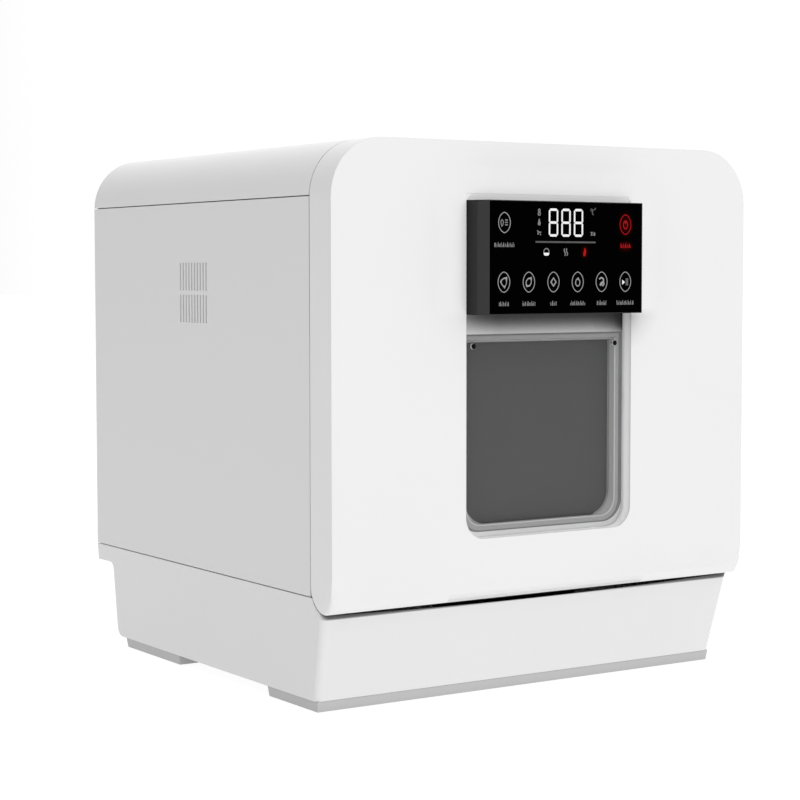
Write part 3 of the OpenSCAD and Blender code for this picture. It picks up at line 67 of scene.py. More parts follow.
camera_data = bpy.data.cameras.new("camera")
camera_data.lens = LENS_MM
camera_data.sensor_width = 36.0
camera = bpy.data.objects.new("camera", camera_data)
bpy.context.scene.collection.objects.link(camera)
turn = (Matrix.Rotation(math.radians(-YAW_DEG), 4, "Z")
        @ Matrix.Rotation(math.radians(90.0 - PITCH_DEG), 4, "X")
        @ Matrix.Rotation(math.radians(ROLL_DEG), 4, "Z"))
camera.matrix_world = Matrix.Translation(CAMERA_PLACE) @ turn
bpy.context.scene.camera = camera
print("camera", [round(v, 3) for v in camera.location])

# %% [markdown]
# ## Colours and nodes
#
# Colours are easiest to read off a picture as sRGB hex values, but a renderer adds light in linear
# numbers. One function turns the first into the second. A second small function adds any shader node
# with its settings and its links, so that each material below reads as a list of what it is made of.

# %% Colour and node helpers
def linear(hex_colour):
    """sRGB hex to linear RGBA: a channel c becomes c / 12.92 below 0.04045, else ((c + 0.055) / 1.055) ** 2.4."""
    digits = hex_colour.lstrip("#")
    c = np.array([int(digits[i:i + 2], 16) for i in (0, 2, 4)]) / 255.0
    rgb = np.where(c <= 0.04045, c / 12.92, ((c + 0.055) / 1.055) ** 2.4)
    return (*rgb.tolist(), 1.0)


def add_node(tree, kind, links=None, **settings):
    """Adds a node. A setting is a property, or an input where its name with spaces is one.

    What feeds an input is a socket, a node that gives its first output, or a plain value.
    """
    made = tree.nodes.new(kind)
    for name, value in settings.items():
        if hasattr(made, name):
            setattr(made, name, value)
        else:
            made.inputs[name.replace("_", " ")].default_value = value
    for name, source in (links or {}).items():
        if isinstance(source, bpy.types.Node):
            source = source.outputs[0]
        if isinstance(source, bpy.types.NodeSocket):
            tree.links.new(source, made.inputs[name])
        else:
            made.inputs[name].default_value = source
    return made


def new_material(name):
    """An empty material: its node tree, its shader and its Object coordinates."""
    material = bpy.data.materials.new(name)
    material.use_nodes = True
    tree = material.node_tree
    tree.nodes.clear()
    shader = add_node(tree, "ShaderNodeBsdfPrincipled")
    add_node(tree, "ShaderNodeOutputMaterial", {"Surface": shader.outputs[0]})
    place = add_node(tree, "ShaderNodeTexCoord").outputs["Object"]
    return material, tree, shader, place


# %% [markdown]
# ## Moulded white shell
#
# The door, the base and the covers are ABS, a hard plastic that is moulded in one shot. The mould's
# steel leaves a fine satin grain, and no moulded edge is knife sharp: it has a radius of about a
# millimetre, which catches a thin line of light. The radius is left to the shader, which bends the
# normal near an edge, so the solid keeps its size. The grain is drawn at half a millimetre.

# %% Satin ABS
PAINTED_SHADE_MM, BRIGHTEST, NO_LEAN = 32.0, 0.96, (0.0, 0.0, 0.0)


def satin_abs(name, colour, roughness, grain_mm, grain_depth_mm, edge_mm, painted_shade_power=0.0, shine=0.5, hollow=None):
    """Moulded plastic: fine noise as bump, slow noise in colour and gloss, soft edges, painted shade in crevices.

    The colour is darkened by the open share of the sky over the point, raised to a power: painted shade in crevices.
    A power below zero lightens it instead: painted light. The hollow, if there is one, is a function that gives the
    power, the edge's radius and a lean of the normal over the piece.
    """
    material, tree, shader, place = new_material(name)
    shader.inputs["IOR"].default_value = 1.53
    shader.inputs["Specular IOR Level"].default_value = shine
    slow = add_node(tree, "ShaderNodeTexNoise", {"Vector": place}, Scale=9.0, Detail=2.0)
    tone = add_node(tree, "ShaderNodeMix", {"Factor": slow.outputs["Fac"]}, data_type="RGBA")
    tone.inputs["A"].default_value = linear(colour)
    tone.inputs["B"].default_value = [0.97 * c for c in linear(colour)[:3]] + [1.0]
    finish = tone.outputs["Result"]
    power, radius, lean = hollow(tree, place) if hollow else (painted_shade_power, edge_mm * MM, NO_LEAN)
    edge = add_node(tree, "ShaderNodeBevel", {"Radius": radius}, samples=4)
    leaning = add_node(tree, "ShaderNodeVectorMath", {0: edge, 1: lean}, operation="ADD")
    normal = add_node(tree, "ShaderNodeVectorMath", {0: leaning}, operation="NORMALIZE")
    # Painted shade: the base colour is scaled by the sky's open share raised to a power, which paints light where the
    # power is below zero.
    if painted_shade_power or hollow:
        opening = add_node(tree, "ShaderNodeAmbientOcclusion", samples=16, Distance=PAINTED_SHADE_MM * MM)
        fall = add_node(tree, "ShaderNodeMath", {0: opening.outputs["AO"], 1: power}, operation="POWER")
        dimmed = add_node(tree, "ShaderNodeVectorMath", {0: finish, "Scale": fall}, operation="SCALE")
        capped = add_node(tree, "ShaderNodeVectorMath", {0: dimmed, 1: [BRIGHTEST] * 3}, operation="MINIMUM")
        finish = capped.outputs[0]
    tree.links.new(finish, shader.inputs["Base Color"])
    gloss = add_node(tree, "ShaderNodeMapRange", {0: slow.outputs["Fac"], 3: roughness - 0.03, 4: roughness + 0.03})
    tree.links.new(gloss.outputs[0], shader.inputs["Roughness"])
    grain = add_node(tree, "ShaderNodeTexNoise", {"Vector": place}, Scale=1.0 / (grain_mm * MM), Detail=1.0)
    bump = add_node(tree, "ShaderNodeBump", {"Height": grain.outputs["Fac"], "Normal": normal},
                    Strength=0.25, Distance=grain_depth_mm * MM)
    tree.links.new(bump.outputs[0], shader.inputs["Normal"])
    return material


# %% [markdown]
# The door's front has a shallow hollow that holds the window and, above it, the touch panel. Right under the panel
# the hollow's floor is painted nearly black: painted shade for the panel, which stands 34 mm proud of it and shuts
# out the light. A hand's breadth lower it is white again, and the painted shade is weaker to the left. Below the
# panel a painted shadow falls on the door's front and grows to the right. Beside the panel and on the hollow's walls
# the colour is lifted instead: painted light. The hollow's walls have a large soft radius and lean outwards, as a
# mould needs, so they turn towards the light. The walls stay where the solid has them and only their normals lean.
# All of it depends on the place on the door.

# %% The door's hollow
DOOR_FRONT, HOLLOW_FLOOR, HOLLOW_HALF_W = -200.7 * MM, -188.7 * MM, 100.0 * MM
# Painted shade on the hollow's floor: its power rises from SHADE_LOW to SHADE_HIGH up to the panel, and is cut down
# to SHADE_LEFT towards the left.
SHADE_LOW_Z, SHADE_HIGH_Z, SHADE_LOW, SHADE_HIGH = 295.0 * MM, 309.0 * MM, 0.3, 7.3
SHADE_LEFT_X, SHADE_FULL_X, SHADE_LEFT = -77.0 * MM, -45.0 * MM, 0.2
# Painted shadow on the front below the panel, growing to UNDER_POWER towards the right. Above it and on the walls, a
# power below zero paints light.
UNDER_PANEL_Z, BESIDE_PANEL_Z, UNDER_POWER, UNDER_RIGHT_X = 309.0 * MM, 316.0 * MM, 2.5, 80.0 * MM
FRONT_LIFT, WALL_LIFT, WALL_LEAN = -0.7, -0.8, 0.7
EDGE_RADIUS, WALL_RADIUS = 0.5 * MM, 8.0 * MM


def door_hollow(tree, place):
    """Painted shade on the floor up to the panel, a painted shadow below it on the front, painted light on the front
    and the walls; a large radius and a lean between front and floor.
    """
    x, y, z = add_node(tree, "ShaderNodeSeparateXYZ", {0: place}).outputs
    floor_part = {0: y, 1: HOLLOW_FLOOR - 0.9 * MM, 2: HOLLOW_FLOOR - 0.4 * MM}
    on_floor = add_node(tree, "ShaderNodeMapRange", floor_part)
    off_front = add_node(tree, "ShaderNodeMapRange", {0: y, 1: DOOR_FRONT + 0.1 * MM, 2: DOOR_FRONT + 0.4 * MM})
    under = add_node(tree, "ShaderNodeMapRange", {0: x, 1: 0.0, 2: UNDER_RIGHT_X, 3: 0.0, 4: UNDER_POWER})
    front_part = {0: z, 1: UNDER_PANEL_Z, 2: BESIDE_PANEL_Z, 3: under, 4: FRONT_LIFT}
    front_power = add_node(tree, "ShaderNodeMapRange", front_part)
    lift = add_node(tree, "ShaderNodeMix", {0: off_front, 2: front_power, 3: WALL_LIFT})
    shade_part = {0: z, 1: SHADE_LOW_Z, 2: SHADE_HIGH_Z, 3: SHADE_LOW, 4: SHADE_HIGH}
    shade = add_node(tree, "ShaderNodeMapRange", shade_part)
    share = add_node(tree, "ShaderNodeMapRange", {0: x, 1: SHADE_LEFT_X, 2: SHADE_FULL_X, 3: SHADE_LEFT, 4: 1.0})
    floor_power = add_node(tree, "ShaderNodeMath", {0: shade, 1: share}, operation="MULTIPLY")
    power = add_node(tree, "ShaderNodeMix", {0: on_floor, 2: lift, 3: floor_power})
    wall = add_node(tree, "ShaderNodeMix", {0: on_floor, 2: off_front, 3: 0.0})
    from_middle = add_node(tree, "ShaderNodeMath", {0: x}, operation="ABSOLUTE")
    in_hollow = add_node(tree, "ShaderNodeMath", {0: from_middle, 1: HOLLOW_HALF_W}, operation="LESS_THAN")
    in_wall = add_node(tree, "ShaderNodeMath", {0: wall, 1: in_hollow}, operation="MULTIPLY")
    radius = add_node(tree, "ShaderNodeMapRange", {0: in_wall, 3: EDGE_RADIUS, 4: WALL_RADIUS})
    lean = add_node(tree, "ShaderNodeVectorMath", {0: (0.0, -WALL_LEAN, 0.0), "Scale": in_wall}, operation="SCALE")
    turned = add_node(tree, "ShaderNodeVectorTransform", {0: lean}, convert_from="OBJECT", convert_to="WORLD")
    return power, radius, turned


KICK_LOW_Z, KICK_TOP_Z, KICK_POWER = 76.2 * MM, 77.8 * MM, 14.0
KICK_FRONT_Y, KICK_BACK_Y = -174.5 * MM, -172.5 * MM


def kick_edge(tree, place):
    """Painted shade on the last millimetres of the kick, right under the door's bottom edge."""
    _, y, z = add_node(tree, "ShaderNodeSeparateXYZ", {0: place}).outputs
    high = add_node(tree, "ShaderNodeMapRange", {0: z, 1: KICK_LOW_Z, 2: KICK_TOP_Z, 3: 0.0, 4: KICK_POWER})
    ahead = add_node(tree, "ShaderNodeMapRange", {0: y, 1: KICK_FRONT_Y, 2: KICK_BACK_Y, 3: 1.0, 4: 0.0})
    return add_node(tree, "ShaderNodeMath", {0: high, 1: ahead}, operation="MULTIPLY"), EDGE_RADIUS, NO_LEAN


door_white = satin_abs("satin_abs_white_door", "#E6E6E6", 0.42, 0.5, 0.02, 1.0, hollow=door_hollow)
shell_white = satin_abs("satin_abs_white", "#DFDFDF", 0.42, 0.5, 0.02, 1.0, hollow=kick_edge)
cover_white = satin_abs("satin_abs_white_cover", "#E4E4E4", 0.38, 0.5, 0.02, 1.0)
# Painted light: the slope's colour is lifted where the panel shuts out the sky.
slope_white = satin_abs("satin_abs_white_slope", "#E6E6E6", 0.42, 0.5, 0.02, 0.2, painted_shade_power=-1.0)
# Painted shade, weak, in the rails' crevices.
foot_grey = satin_abs("satin_abs_pale_grey", "#C6C6C6", 0.45, 0.5, 0.02, 1.0, painted_shade_power=0.3)
# Painted shade and highlight: the frame's three tones are lit and shaded copies of one moulding, with a grey face and
# sleeve for its shade and a paler bead for its highlight.
frame_painted_shade = satin_abs("satin_abs_frame_painted_shade", "#9A9A9A", 0.45, 0.5, 0.02, 0.4, shine=0.2)
sleeve_painted_shade = satin_abs("satin_abs_sleeve_painted_shade", "#AAAAAA", 0.5, 0.5, 0.02, 0.4, shine=0.2)
pale_painted_highlight = satin_abs("satin_abs_pale_painted_highlight", "#BEBEBE", 0.3, 0.5, 0.0, 0.2)
inner_white = satin_abs("matt_abs_inner_white", "#DEDFE0", 0.55, 0.6, 0.02, 0.6)
# Painted shade: the housing's black is darkened where the door and the hollow shut out the sky, most on its sides.
panel_black = satin_abs("matt_abs_black", "#383838", 0.5, 0.5, 0.01, 0.4, painted_shade_power=1.5, shine=0.06)
pump_grey = satin_abs("glass_filled_nylon_grey", "#4A4D50", 0.6, 0.8, 0.05, 0.5)
basket_grey = satin_abs("polypropylene_grey", "#8E9296", 0.45, 0.8, 0.03, 0.5)
arm_grey = satin_abs("polypropylene_pale_grey", "#A9ADB0", 0.4, 0.8, 0.03, 0.6)
rotor_tan = satin_abs("acetal_tan", "#C8B48C", 0.4, 0.8, 0.03, 0.4)
screw_black = satin_abs("black_oxide_steel", "#050505", 0.4, 0.5, 0.01, 0.2, shine=0.05)

# %% [markdown]
# ## Powder-coated steel
#
# The side panels and the back are sheet steel, sprayed with dry powder and baked. The coat flows into
# a faint orange peel, a few millimetres from crest to crest, with a softer gloss than the plastic.

# %% Powder coat
def powder_coat(name, colour, roughness, peel_mm):
    """Baked powder on sheet steel: a smooth low bump for the orange peel."""
    material, tree, shader, place = new_material(name)
    shader.inputs["Base Color"].default_value = linear(colour)
    shader.inputs["Roughness"].default_value = roughness
    shader.inputs["IOR"].default_value = 1.5
    peel = add_node(tree, "ShaderNodeTexNoise", {"Vector": place}, Scale=1.0 / (peel_mm * MM), Detail=0.0)
    edge = add_node(tree, "ShaderNodeBevel", samples=4, Radius=0.5 * MM)
    bump = add_node(tree, "ShaderNodeBump", {"Height": peel.outputs["Fac"], "Normal": edge.outputs[0]},
                    Strength=0.15, Distance=0.03 * MM)
    tree.links.new(bump.outputs[0], shader.inputs["Normal"])
    return material


panel_white = powder_coat("powder_coated_steel_white", "#DDDDDD", 0.48, 2.5)

# %% [markdown]
# ## Brushed stainless steel and plated steel
#
# The wash tub is stainless sheet, brushed along one direction before it is pressed. Brushing leaves
# fine parallel scratches: the noise is stretched along the stroke, so light smears across it. Screws,
# hinge plates and axles are plain steel with a thin zinc plating, which is bluish and slightly mottled.

# %% Metals
def brushed_steel(name, colour, roughness, stroke, scratch_mm=0.6):
    """Parallel scratches: noise stretched forty times along the stroke's axis, as bump and in the gloss."""
    material, tree, shader, place = new_material(name)
    shader.inputs["Base Color"].default_value = linear(colour)
    shader.inputs["Metallic"].default_value = 1.0
    scale = [1.0 / (scratch_mm * MM)] * 3
    scale["XYZ".index(stroke)] /= 40.0
    run = add_node(tree, "ShaderNodeMapping", {"Vector": place}, Scale=scale)
    lines = add_node(tree, "ShaderNodeTexNoise", {"Vector": run.outputs[0]}, Scale=1.0, Detail=3.0)
    gloss = add_node(tree, "ShaderNodeMapRange", {"Value": lines.outputs["Fac"]},
                     To_Min=roughness - 0.08, To_Max=roughness + 0.08)
    tree.links.new(gloss.outputs["Result"], shader.inputs["Roughness"])
    bump = add_node(tree, "ShaderNodeBump", {"Height": lines.outputs["Fac"]},
                    Strength=0.2, Distance=0.02 * MM)
    tree.links.new(bump.outputs[0], shader.inputs["Normal"])
    return material


def zinc_plate(name, colour):
    """Plated steel: a slow mottle in the gloss and a soft edge."""
    material, tree, shader, place = new_material(name)
    shader.inputs["Base Color"].default_value = linear(colour)
    shader.inputs["Metallic"].default_value = 1.0
    mottle = add_node(tree, "ShaderNodeTexNoise", {"Vector": place}, Scale=400.0, Detail=2.0)
    gloss = add_node(tree, "ShaderNodeMapRange", {"Value": mottle.outputs["Fac"]}, To_Min=0.25, To_Max=0.42)
    tree.links.new(gloss.outputs["Result"], shader.inputs["Roughness"])
    edge = add_node(tree, "ShaderNodeBevel", samples=4, Radius=0.3 * MM)
    tree.links.new(edge.outputs[0], shader.inputs["Normal"])
    return material


tub_steel = brushed_steel("brushed_stainless_tub", "#BFC1C3", 0.3, "X")
floor_steel = brushed_steel("brushed_stainless_plate", "#A6A8AA", 0.36, "Y")
heater_steel = brushed_steel("dull_stainless_heater", "#77797B", 0.42, "Z")
zinc = zinc_plate("zinc_plated_steel", "#AEB2B5")

# %% [markdown]
# ## Rubber, nylon coat and tank plastic
#
# Seals and pads are EPDM rubber: nearly black, matt, with a dusty bloom. The rack's wires are dipped in
# nylon, a smooth thick coat. The water tank is blown polypropylene, milky because light scatters in it.

# %% Soft and milky plastics
def rubber(name, colour):
    """Matt rubber with a fine grain and a paler bloom in patches."""
    material, tree, shader, place = new_material(name)
    bloom = add_node(tree, "ShaderNodeTexNoise", {"Vector": place}, Scale=60.0, Detail=4.0)
    tone = add_node(tree, "ShaderNodeMix", {"Factor": bloom.outputs["Fac"]}, data_type="RGBA")
    tone.inputs["A"].default_value = linear(colour)
    tone.inputs["B"].default_value = [1.5 * c for c in linear(colour)[:3]] + [1.0]
    tree.links.new(tone.outputs["Result"], shader.inputs["Base Color"])
    shader.inputs["Roughness"].default_value = 0.7
    grain = add_node(tree, "ShaderNodeTexNoise", {"Vector": place}, Scale=1500.0)
    bump = add_node(tree, "ShaderNodeBump", {"Height": grain.outputs["Fac"]}, Strength=0.3, Distance=0.05 * MM)
    tree.links.new(bump.outputs[0], shader.inputs["Normal"])
    return material


def milky(name, colour, scatter_mm):
    """Blown polypropylene: light enters, scatters a few millimetres and leaves."""
    material, tree, shader, place = new_material(name)
    shader.inputs["Base Color"].default_value = linear(colour)
    shader.inputs["Subsurface Weight"].default_value = 0.6
    shader.inputs["Subsurface Scale"].default_value = scatter_mm * MM
    shader.inputs["IOR"].default_value = 1.49
    sink = add_node(tree, "ShaderNodeTexNoise", {"Vector": place}, Scale=35.0)
    gloss = add_node(tree, "ShaderNodeMapRange", {"Value": sink.outputs["Fac"]}, To_Min=0.3, To_Max=0.45)
    tree.links.new(gloss.outputs["Result"], shader.inputs["Roughness"])
    return material


seal_rubber = rubber("epdm_rubber", "#2C2C2E")
gasket_rubber = rubber("silicone_seal_grey", "#7B7D80")
hose_rubber = rubber("hose_rubber_grey", "#5E6063")
groove_painted_shade = rubber("epdm_groove_painted_shade", "#68696B")
tank_plastic = milky("polypropylene_milky", "#DFE5E8", 3.0)
wire_nylon = satin_abs("nylon_dipped_wire", "#C6C9CB", 0.32, 3.0, 0.05, 0.4)
board_green = satin_abs("solder_mask_green", "#1B5A38", 0.35, 1.0, 0.02, 0.2)

# %% [markdown]
# ## Glass
#
# The touch panel is a black-backed acrylic sheet. The window has two panes: the outer one is clear and
# almost invisible, and the inner one is smoked, so the inside of the tub only just shows through it.

# %% Glass
def touch_acrylic(name, colour):
    """Black-printed acrylic: very dark, smooth, with faint wipe marks in the gloss."""
    material, tree, shader, place = new_material(name)
    shader.inputs["Base Color"].default_value = linear(colour)
    shader.inputs["IOR"].default_value = 1.49
    shader.inputs["Specular IOR Level"].default_value = 0.006
    wipes = add_node(tree, "ShaderNodeTexNoise", {"Vector": place}, Scale=40.0, Detail=3.0)
    gloss = add_node(tree, "ShaderNodeMapRange", {"Value": wipes.outputs["Fac"]}, To_Min=0.1, To_Max=0.2)
    tree.links.new(gloss.outputs["Result"], shader.inputs["Roughness"])
    return material


def pane(name, colour, opacity, roughness, shine):
    """A thin pane: mostly see-through, its tint and gloss weighted by how opaque it is."""
    material, tree, shader, place = new_material(name)
    shader.inputs["Base Color"].default_value = linear(colour)
    shader.inputs["Alpha"].default_value = opacity
    shader.inputs["IOR"].default_value = 1.52
    shader.inputs["Specular IOR Level"].default_value = shine
    haze = add_node(tree, "ShaderNodeTexNoise", {"Vector": place}, Scale=25.0, Detail=3.0)
    gloss = add_node(tree, "ShaderNodeMapRange", {"Value": haze.outputs["Fac"]},
                     To_Min=roughness, To_Max=roughness + 0.06)
    tree.links.new(gloss.outputs["Result"], shader.inputs["Roughness"])
    return material


touch_black = touch_acrylic("black_printed_acrylic", "#000000")
clear_pane = pane("clear_tempered_glass", "#D2D2D2", 0.015, 0.03, 0.1)
smoked_pane = pane("smoked_tempered_glass", "#4C4C4C", 0.98, 0.3, 0.05)

# %% [markdown]
# ## Which piece has which finish
#
# Each node of the frame gets one of these materials. The table reads like a bill of materials.

# %% Finishes for the frame
FINISHES = {
    door_white: ["door_outer"],
    shell_white: ["base_shell"],
    cover_white: ["top_cover"],
    foot_grey: ["front_foot_rail", "rear_foot_rail"],
    frame_painted_shade: ["window_bezel"],
    panel_white: ["left_panel", "right_panel", "rear_panel"],
    inner_white: ["tub_front_frame", "fill_funnel", "fill_lid", "air_duct", "door_latch", "door_inner",
                  "roller_front_left", "roller_front_right", "roller_rear_left", "roller_rear_right"],
    tub_steel: ["tub"],
    floor_steel: ["base_plate", "filter_plate"],
    heater_steel: ["heater_ring"],
    zinc: ["hinge_brackets", "hinge_yokes", "cabinet_screws", "door_screws", "roller_axles", "latch_strike"],
    seal_rubber: ["foot_pads", "window_seal", "cord_gland", "window_screws"],
    gasket_rubber: ["door_gasket"],
    hose_rubber: ["inner_hoses", "drain_outlet", "water_inlet"],
    basket_grey: ["filter_cup", "cutlery_basket", "detergent_cup", "detergent_lid"],
    arm_grey: ["sump", "feed_pipe", "lower_arm", "upper_arm"],
    pump_grey: ["wash_pump_housing", "wash_pump_motor", "drain_pump_housing", "blower_housing", "blower_rotor"],
    rotor_tan: ["wash_impeller", "drain_impeller"],
    tank_plastic: ["water_tank"],
    board_green: ["power_board", "display_board"],
    panel_black: ["control_housing"],
    touch_black: ["touch_glass"],
    clear_pane: ["outer_pane"],
    smoked_pane: ["inner_pane"],
    wire_nylon: ["rack_frame"],
}
for material, names in FINISHES.items():
    for name in names:
        mesh = nodes[name].data
        mesh.materials.clear()
        mesh.materials.append(material)
dressed = sum(len(names) for names in FINISHES.values())
print("finished", dressed, "of", len(nodes), "nodes")

# %% [markdown]
# ## Round faces that look round
#
# The frame's meshes are loose triangles, so a bend is a row of flat facets. A small geometry tree on
# each node joins the corners that meet and shades smooth across every edge flatter than 30 degrees,
# which keeps true edges crisp.

# %% Smooth shading by angle
SMOOTH_DEG = 30.0

smooth_tree = bpy.data.node_groups.new("smooth_by_angle", "GeometryNodeTree")
smooth_tree.interface.new_socket("Geometry", in_out="INPUT", socket_type="NodeSocketGeometry")
smooth_tree.interface.new_socket("Geometry", in_out="OUTPUT", socket_type="NodeSocketGeometry")
source = add_node(smooth_tree, "NodeGroupInput").outputs[0]
merged = add_node(smooth_tree, "GeometryNodeMergeByDistance", {"Geometry": source}, Distance=0.01 * MM)
angle = add_node(smooth_tree, "GeometryNodeInputMeshEdgeAngle")
flat_enough = add_node(smooth_tree, "FunctionNodeCompare", {"A": angle.outputs["Unsigned Angle"]},
                       data_type="FLOAT", operation="LESS_THAN", B=math.radians(SMOOTH_DEG))
faces = add_node(smooth_tree, "GeometryNodeSetShadeSmooth", {"Geometry": merged.outputs[0]}, domain="FACE")
edges = add_node(smooth_tree, "GeometryNodeSetShadeSmooth",
                 {"Geometry": faces.outputs[0], "Shade Smooth": flat_enough.outputs[0]}, domain="EDGE")
add_node(smooth_tree, "NodeGroupOutput", {0: edges.outputs[0]})
for node in nodes.values():
    node.modifiers.new("smooth_by_angle", "NODES").node_group = smooth_tree
print("smooth shading on", len(nodes), "nodes")

# %% [markdown]
# ## Pieces worked out with numpy
#
# Every piece added here is a grid of points: one parameter runs along a path or round an outline, the
# other across it. One function turns such arrays into a mesh. It measures the volume that the faces
# enclose and turns them round if it comes out negative, so that they look outwards.

# %% From arrays to a piece
def solid_volume(verts, faces):
    """The sum over every face's triangles of a . (b x c) / 6, positive where the faces look outwards."""
    total = 0.0
    for count in {len(f) for f in faces}:
        corners = verts[np.array([f for f in faces if len(f) == count])]
        for k in range(1, count - 1):
            total += np.einsum("ij,ij->", corners[:, 0], np.cross(corners[:, k], corners[:, k + 1])) / 6.0
    return total


def new_piece(name, verts, faces, body, materials, finish_of_face=None, smooth=True):
    """A mesh from points in millimetres and faces, which rides on a body of the frame."""
    verts = np.asarray(verts, float) * MM
    faces = [list(map(int, f)) for f in faces]
    if solid_volume(verts, faces) < 0.0:
        faces = [f[::-1] for f in faces]
    mesh = bpy.data.meshes.new(name)
    mesh.from_pydata(verts.tolist(), [], faces)
    for material in materials:
        mesh.materials.append(material)
    if finish_of_face is not None:
        mesh.polygons.foreach_set("material_index", np.asarray(finish_of_face, dtype=np.int32))
    made = bpy.data.objects.new(name, mesh)
    bpy.context.scene.collection.objects.link(made)
    if smooth:
        made.modifiers.new("smooth_by_angle", "NODES").node_group = smooth_tree
    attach(made, body)
    print(name, len(verts), "points,", len(faces), "faces")
    return made


# %% [markdown]
# ## Window frame
#
# The window sits in a moulded frame, square above and round below, flush with the hollow's floor. Its inner edge has
# a thin round bead that catches the light, a sleeve runs back from it to the smoked glass, and a dark rubber line
# lies outside it. The grey of the frame's face and sleeve is painted shade. The bead's paler tone is a painted
# highlight on top of the light it catches. The rubber line is painted shade for the groove around the frame. It could
# be extruded and bevelled, but here it is one skin that goes through a list of closed outlines, each at its own
# depth, so that every step of the moulding has its true width, also where two outlines have different corners.

# %% Outlines of the window
def sill_outline(half_w, low, high, radius, steps=14):
    """A closed loop, square above: the lower corners are quarter circles (r - r cos a, r - r sin a)."""
    a = np.radians(np.linspace(0.0, 90.0, steps))
    left = np.stack([-half_w + radius * (1.0 - np.cos(a)), low + radius * (1.0 - np.sin(a))], axis=1)
    right = left[::-1] * (-1.0, 1.0)
    return np.vstack([[(-half_w, high)], left, right, [(half_w, high)]])


OPENING = sill_outline(76.0, 141.9, 290.5, 14.0)
RIM = sill_outline(80.8, 137.2, 294.9, 18.0)
GROOVE = sill_outline(84.7, 136.2, 296.1, 20.5)
SLEEVE_OUT = sill_outline(76.9, 139.4, 292.1, 15.0)
END_OUT = sill_outline(74.45, 141.75, 289.65, 21.1)
END_IN = sill_outline(74.25, 141.95, 289.45, 21.0)
FLOOR_Y, FRAME_Y, GLASS_Y = -188.72, -189.1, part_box("inner_pane")[0][1] / MM - 0.05
SEAL_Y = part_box("window_seal")[0][1] / MM - 0.1


def skin(loops, depths):
    """Outline after outline, each at its depth, every point joined to its neighbours; closed both ways."""
    y = np.repeat(np.array(depths, float)[:, None], len(loops[0]), axis=1)
    loops = np.stack(loops)
    verts = np.stack([loops[..., 0], y, loops[..., 1]], axis=-1)
    rows, columns = y.shape
    i, j = np.meshgrid(np.arange(rows), np.arange(columns), indexing="ij")
    i_next, j_next = (i + 1) % rows, (j + 1) % columns
    quads = [i * columns + j, i * columns + j_next, i_next * columns + j_next, i_next * columns + j]
    return verts.reshape(-1, 3), np.stack(quads, axis=-1).reshape(-1, 4)


# %% Frame, bead and the painted shade line in the groove
BEAD_SHARE, BEAD_HIGH, BEAD_STEPS = 0.22, 0.45, 9
turn_bead = np.linspace(0.0, np.pi, BEAD_STEPS)
bead_u = 0.5 * BEAD_SHARE * (1.0 - np.cos(turn_bead))
bead_loops = [OPENING + u * (RIM - OPENING) for u in bead_u]
bead_y = list(FRAME_Y + 0.1 - BEAD_HIGH * np.sin(turn_bead))
face_loops = [OPENING + u * (RIM - OPENING) for u in (0.27, 0.93, 1.0)]
loops = [END_IN] + bead_loops + face_loops + [RIM, SLEEVE_OUT, SLEEVE_OUT, END_OUT, END_OUT]
depths = [GLASS_Y] + bead_y + [FRAME_Y, FRAME_Y, FRAME_Y + 0.15] + [FLOOR_Y, FLOOR_Y, SEAL_Y, SEAL_Y, GLASS_Y]
verts, faces = skin(loops, depths)
per_loop = len(OPENING)
SLEEVE, BEAD, FACE = 0, 1, 2
finish = np.full((len(loops), per_loop), FACE)
finish[0] = SLEEVE
finish[1:BEAD_STEPS, 1:per_loop - 1] = BEAD
frame_piece = new_piece("window_frame", verts, faces, "door", [sleeve_painted_shade, pale_painted_highlight, frame_painted_shade], finish.ravel())
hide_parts("window_bezel")

# Painted shade: a dark rubber strip laid in the groove around the frame, where the hollow's floor lies in shade.
GROOVE_Y = FLOOR_Y - 0.2
verts, faces = skin([RIM, GROOVE, GROOVE, RIM], [GROOVE_Y, GROOVE_Y, FLOOR_Y, FLOOR_Y])
new_piece("window_groove_painted_shade", verts, faces, "door", [groove_painted_shade])

# %% [markdown]
# The outer pane is a clear plate that lies on the frame and is held by two screws. It is nearly
# invisible, so its opacity is a few hundredths and it shows only where it mirrors something bright.

# %% Clear pane
PANE_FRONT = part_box("outer_pane")[0][1] / MM
PANE_BACK = FRAME_Y - BEAD_HIGH
pane_edge = sill_outline(78.0, 139.6, 293.0, 15.5)
count = len(pane_edge)
front, back = (np.insert(pane_edge, 1, y, axis=1) for y in (PANE_FRONT, PANE_BACK))
k = np.arange(count)
rim_faces = np.stack([k, (k + 1) % count, count + (k + 1) % count, count + k], axis=1).tolist()
pane_faces = rim_faces + [k[::-1].tolist(), (count + k).tolist()]
pane_piece = new_piece("clear_pane", np.vstack([front, back]), pane_faces, "door", [clear_pane])
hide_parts("outer_pane")

# %% [markdown]
# ## Two screws in the window's upper corners
#
# Each is a black screw on a pale nylon cup washer. A screw is round, so it is a profile turned about its own axis:
# the cup's steep skirt catches the light on the side that is turned to it, and its pale colour adds a painted
# highlight there.

# %% Screws
SCREW_X, SCREW_Z = 72.6, 286.8
SCREW_PROFILE = [(0.5, -1.45), (1.5, -1.4), (2.0, -1.2), (2.1, -1.0), (2.15, -0.95), (2.5, 0.0),
                 (2.5, 0.28), (0.85, 0.28), (0.85, 3.4)]
SCREW_STEPS, CUP_ROWS = 28, slice(4, 7)


